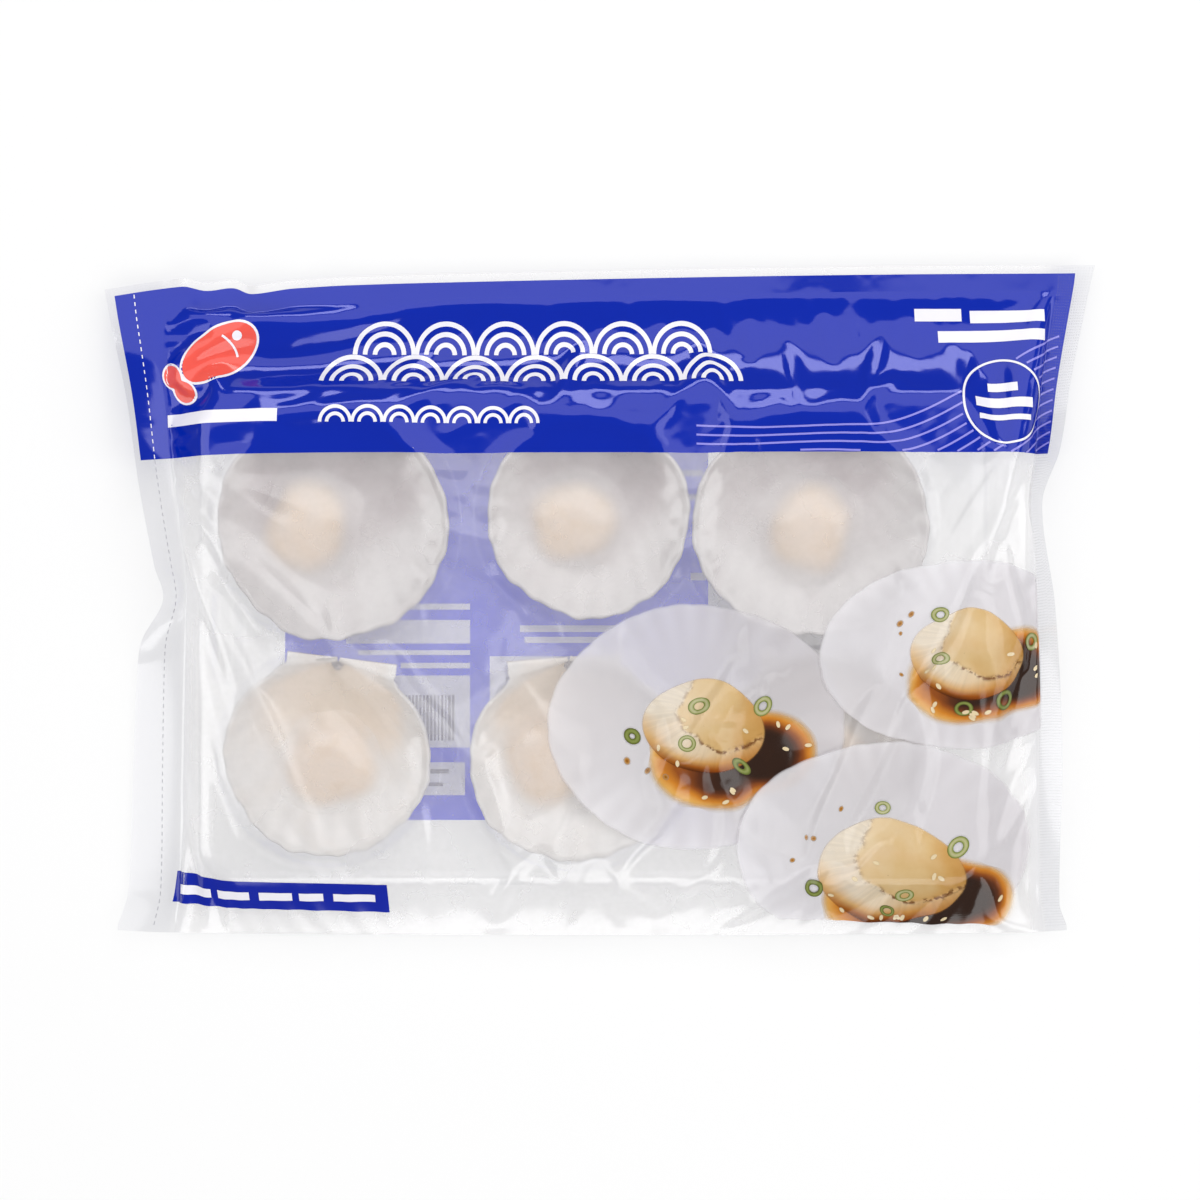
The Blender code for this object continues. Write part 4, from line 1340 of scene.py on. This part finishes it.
for number, plate in enumerate(PLATES, 1):
    middle, half_x, half_y, bright, meat_at, meat_x, meat_y, sauce_at, sauce_reach = plate
    draw = np.random.default_rng(40 + number)
    phase = draw.uniform(0, 2 * math.pi, 8)
    lift = PRINT_LIFT * (1 + 4 * (number - 1))
    oval = ellipse_reach(half_x, half_y)

    def scalloped(a):
        return oval(a) * (1 + 0.007 * np.abs(np.sin(14 * a + phase[0])) + 0.008 * np.sin(5 * a + phase[1]))

    angle, share = np.meshgrid(np.linspace(0, 2 * math.pi, 241), np.linspace(1, BLOB_HOLE, 60))
    ribs = 0.5 + 0.5 * np.cos(28 * (angle + phase[0] / 14) + 1.2 * np.sin(3 * angle + phase[2]))
    ribbed = 0.22 * smooth_step(share, 0.5, 1.0) * (0.6 + 0.4 * np.sin(2 * angle + phase[3]))
    tone = (0.64 + 0.26 * np.cos(angle - math.radians(bright)) * share + (ribs - 0.5) * ribbed
            + 0.15 * share**8)
    front_print(f"pictured_shell_{number}", [blob(middle, cut_to_picture(middle, scalloped), 60, 240)],
                shell_ink, lift, {"tone": [tone],
                                                   "laid": [smooth_step(1 - share, -0.006, 0.022)]})

    flow = reach_through(sauce_reach)

    def pooled(a):
        return flow(a) * (1 + 0.03 * np.sin(7 * a + phase[5]) + 0.02 * np.sin(13 * a + phase[6]))

    pool = cut_to_picture(sauce_at, pooled)
    angle, share = np.meshgrid(np.linspace(0, 2 * math.pi, 145), np.linspace(1, BLOB_HOLE, 40))
    from_rim = flow(angle) - pool(angle) * share
    core = np.hypot(pool(angle) * share * np.cos(angle) - 7.0, pool(angle) * share * np.sin(angle) + 2.0)
    depth = np.minimum(from_rim / 9.5, 1) * (1 - 0.5 * smooth_step(core, 10.0, 27.0))
    front_print(f"pictured_sauce_{number}", [blob(sauce_at, pool, 40, 144)], sauce_ink,
                lift + PRINT_LIFT, {"tone": [depth], "laid": [smooth_step(from_rim, -0.4, 3.6)]})

    drum = ellipse_reach(meat_x, meat_y, -8)

    def plump(a):
        return drum(a) * (1 + 0.025 * np.sin(3 * a + phase[7]) + 0.02 * np.cos(4 * a + 0.6))

    angle, share = np.meshgrid(np.linspace(0, 2 * math.pi, 145), np.linspace(1, BLOB_HOLE, 36))
    right, up_by = share * np.cos(angle), share * np.sin(angle)
    top_angle = np.arctan2(up_by - 0.38, right - 0.34)
    top_far = np.hypot((right - 0.34) / 0.80, (up_by - 0.38) / 0.86)
    top_far = top_far + 0.05 * np.sin(5 * top_angle + phase[2]) + 0.02 * np.sin(13 * top_angle)
    top_edge = np.exp(-((top_far - 0.975) / 0.045) ** 2)
    below = np.clip(-np.sin(angle + 0.25), 0, 1)
    marks = {
        "tone": 0.34 + 0.30 * right - 0.22 * up_by + 0.16 * share**4,
        "turn": top_angle * 3.2 + 20.0,
        "reach": 0.12 * top_far,
        "top": 1 - smooth_step(top_far, 0.93, 1.0),
        "toast": top_edge * (0.35 + 0.65 * smooth_step(np.sin(top_angle + 2.2), -0.4, 0.4)),
        "foot": smooth_step(share, 0.58, 1.0) * below**0.7,
        "laid": smooth_step(1 - share, -0.01, 0.035),
    }
    front_print(f"pictured_meat_{number}", [blob(meat_at, cut_to_picture(meat_at, plump), 36, 144)],
                seared_ink, lift + 2 * PRINT_LIFT,
                {name: [mark] for name, mark in marks.items()})

    rings, ring_tones, drops, drop_tones = [], [], [], []
    for step in range(5):
        where = 2 * math.pi * (step + draw.uniform(0.1, 0.8)) / 5
        far = draw.choice([0.45, 1.05, 1.2])
        ring_x = min(meat_at[0] + far * meat_x * math.cos(where), CUT_RIGHT - 4.5)
        ring_y = max(meat_at[1] + far * meat_y * math.sin(where), CUT_BOTTOM + 4.5)
        half_long, half_wide = draw.uniform(2.6, 3.9), draw.uniform(1.8, 2.9)
        tilt, hole = draw.uniform(0, 180), draw.choice([0.32, 0.45, 0.55])
        rings.append(blob((ring_x, ring_y), ellipse_reach(half_long, half_wide, tilt), 9, 32, hole))
        wall = 1 - np.abs(np.linspace(-1, 1, 9))[:, None] ** 1.5
        # Rings that lie in the sauce are darkened by it.
        soaked = 0.7 if math.sin(where) < 0.1 and far > 0.5 else 1.0
        ring_tones.append(soaked * (0.38 + 0.6 * wall) * np.ones((1, 33)) - 0.12 * (1 - soaked))
    for _ in range(4):
        where, far = draw.uniform(1.9, 4.2), draw.uniform(1.2, 1.5)
        drop_x = meat_at[0] + far * meat_x * math.cos(where)
        drop_y = max(meat_at[1] + far * meat_y * math.sin(where), CUT_BOTTOM + 2)
        drop_reach = ellipse_reach(*draw.uniform(0.6, 1.6, 2), draw.uniform(0, 180))
        drops.append(blob((drop_x, drop_y), drop_reach, 5, 16))
        drop_tones.append((1 - np.linspace(1, BLOB_HOLE, 5)[:, None]) * np.ones((1, 17)))
    front_print(f"pictured_onion_{number}", rings, onion_ink, lift + 3 * PRINT_LIFT,
                {"tone": ring_tones, "laid": [1.0] * len(rings)})
    front_print(f"pictured_drops_{number}", drops, amber_ink, lift + 3 * PRINT_LIFT,
                {"tone": drop_tones, "laid": [0.25 + 1.5 * tone for tone in drop_tones]})
    seeds = []
    for _ in range(15):
        where, far = draw.uniform(0, 2 * math.pi), draw.uniform(0.5, 0.92)
        seed_x = min(sauce_at[0] + far * float(flow(where)) * math.cos(where), CUT_RIGHT - 2)
        seed_y = max(sauce_at[1] + far * float(flow(where)) * math.sin(where), CUT_BOTTOM + 2)
        seeds.append(blob((seed_x, seed_y), ellipse_reach(1.2, 0.6, draw.uniform(0, 180)), 3, 12))
    front_print(f"pictured_sesame_{number}", seeds, sesame_ink, lift + 3.5 * PRINT_LIFT)

# --------------------------------------------------------------------------------------------------
# Studio. A light table, so the clear bag has no grey shadow under it. A wide, dim panel beyond the top
# seal gives the film its even haze, and a brighter, lower box lights its folds. The film's deep blue
# patches mirror the dark.
# --------------------------------------------------------------------------------------------------
FLOOR = 3.0  # half the light table's width in metres
TABLE_GREY, TABLE_GLOW = 0.43, 0.50  # how much of the light it gives back, and how much it gives of its own
floor = in_scene("floor", bpy.data.meshes.new("floor"))
floor.data.from_pydata([(-FLOOR, -FLOOR, 0), (FLOOR, -FLOOR, 0), (FLOOR, FLOOR, 0), (-FLOOR, FLOOR, 0)], [],
                       [(0, 1, 2, 3)])
floor_paint, floor_tree, floor_output = new_material("light_table")
matt = shader(floor_tree, "Diffuse", Color=(TABLE_GREY, TABLE_GREY, TABLE_GREY, 1))
glow = add_node(floor_tree, "ShaderNodeEmission", Color=WHITE, Strength=TABLE_GLOW).outputs[0]
table = add_node(floor_tree, "ShaderNodeAddShader", i0=matt, i1=glow).outputs[0]
floor.data.materials.append(finished(floor_paint, floor_tree, floor_output, table))


def softbox(name, place, size, radiance):
    """A rectangular light aimed at the bag, of the given size in metres and brightness."""
    light = bpy.data.lights.new(name, "AREA")
    light.shape = "RECTANGLE"
    light.size, light.size_y = size
    light.energy = math.pi * radiance * size[0] * size[1]
    lamp = in_scene(name, light)
    lamp.location = place
    lamp.rotation_euler = Vector([-p for p in place]).to_track_quat("-Z", "Y").to_euler()
    lamp.visible_camera = False


softbox("overhead_panel", (0.0, 0.72, 1.5), (2.2, 1.25), 1.45)
softbox("key_box", (0.15, 1.55, 1.0), (1.3, 0.42), 5.2)
softbox("left_panel", (-1.35, -0.1, 1.1), (1.0, 1.2), 2.5)
softbox("right_panel", (1.35, -0.1, 1.1), (1.0, 1.2), 2.5)
softbox("front_box", (0.3, -1.3, 1.0), (1.8, 0.7), 2.6)
world = bpy.data.worlds.new("studio")
bpy.context.scene.world = world
world.use_nodes = True
world.node_tree.nodes["Background"].inputs["Color"].default_value = WHITE
world.node_tree.nodes["Background"].inputs["Strength"].default_value = 0.2

CAMERA_HEIGHT, LENS_LENGTH = 1.31, 118.7
camera_lens = bpy.data.cameras.new("camera")
camera_lens.lens = LENS_LENGTH
camera_lens.sensor_width = 36
camera = in_scene("camera", camera_lens)
camera.location = (0, 0, CAMERA_HEIGHT)
bpy.context.scene.camera = camera
bpy.context.scene.view_settings.view_transform = "Standard"
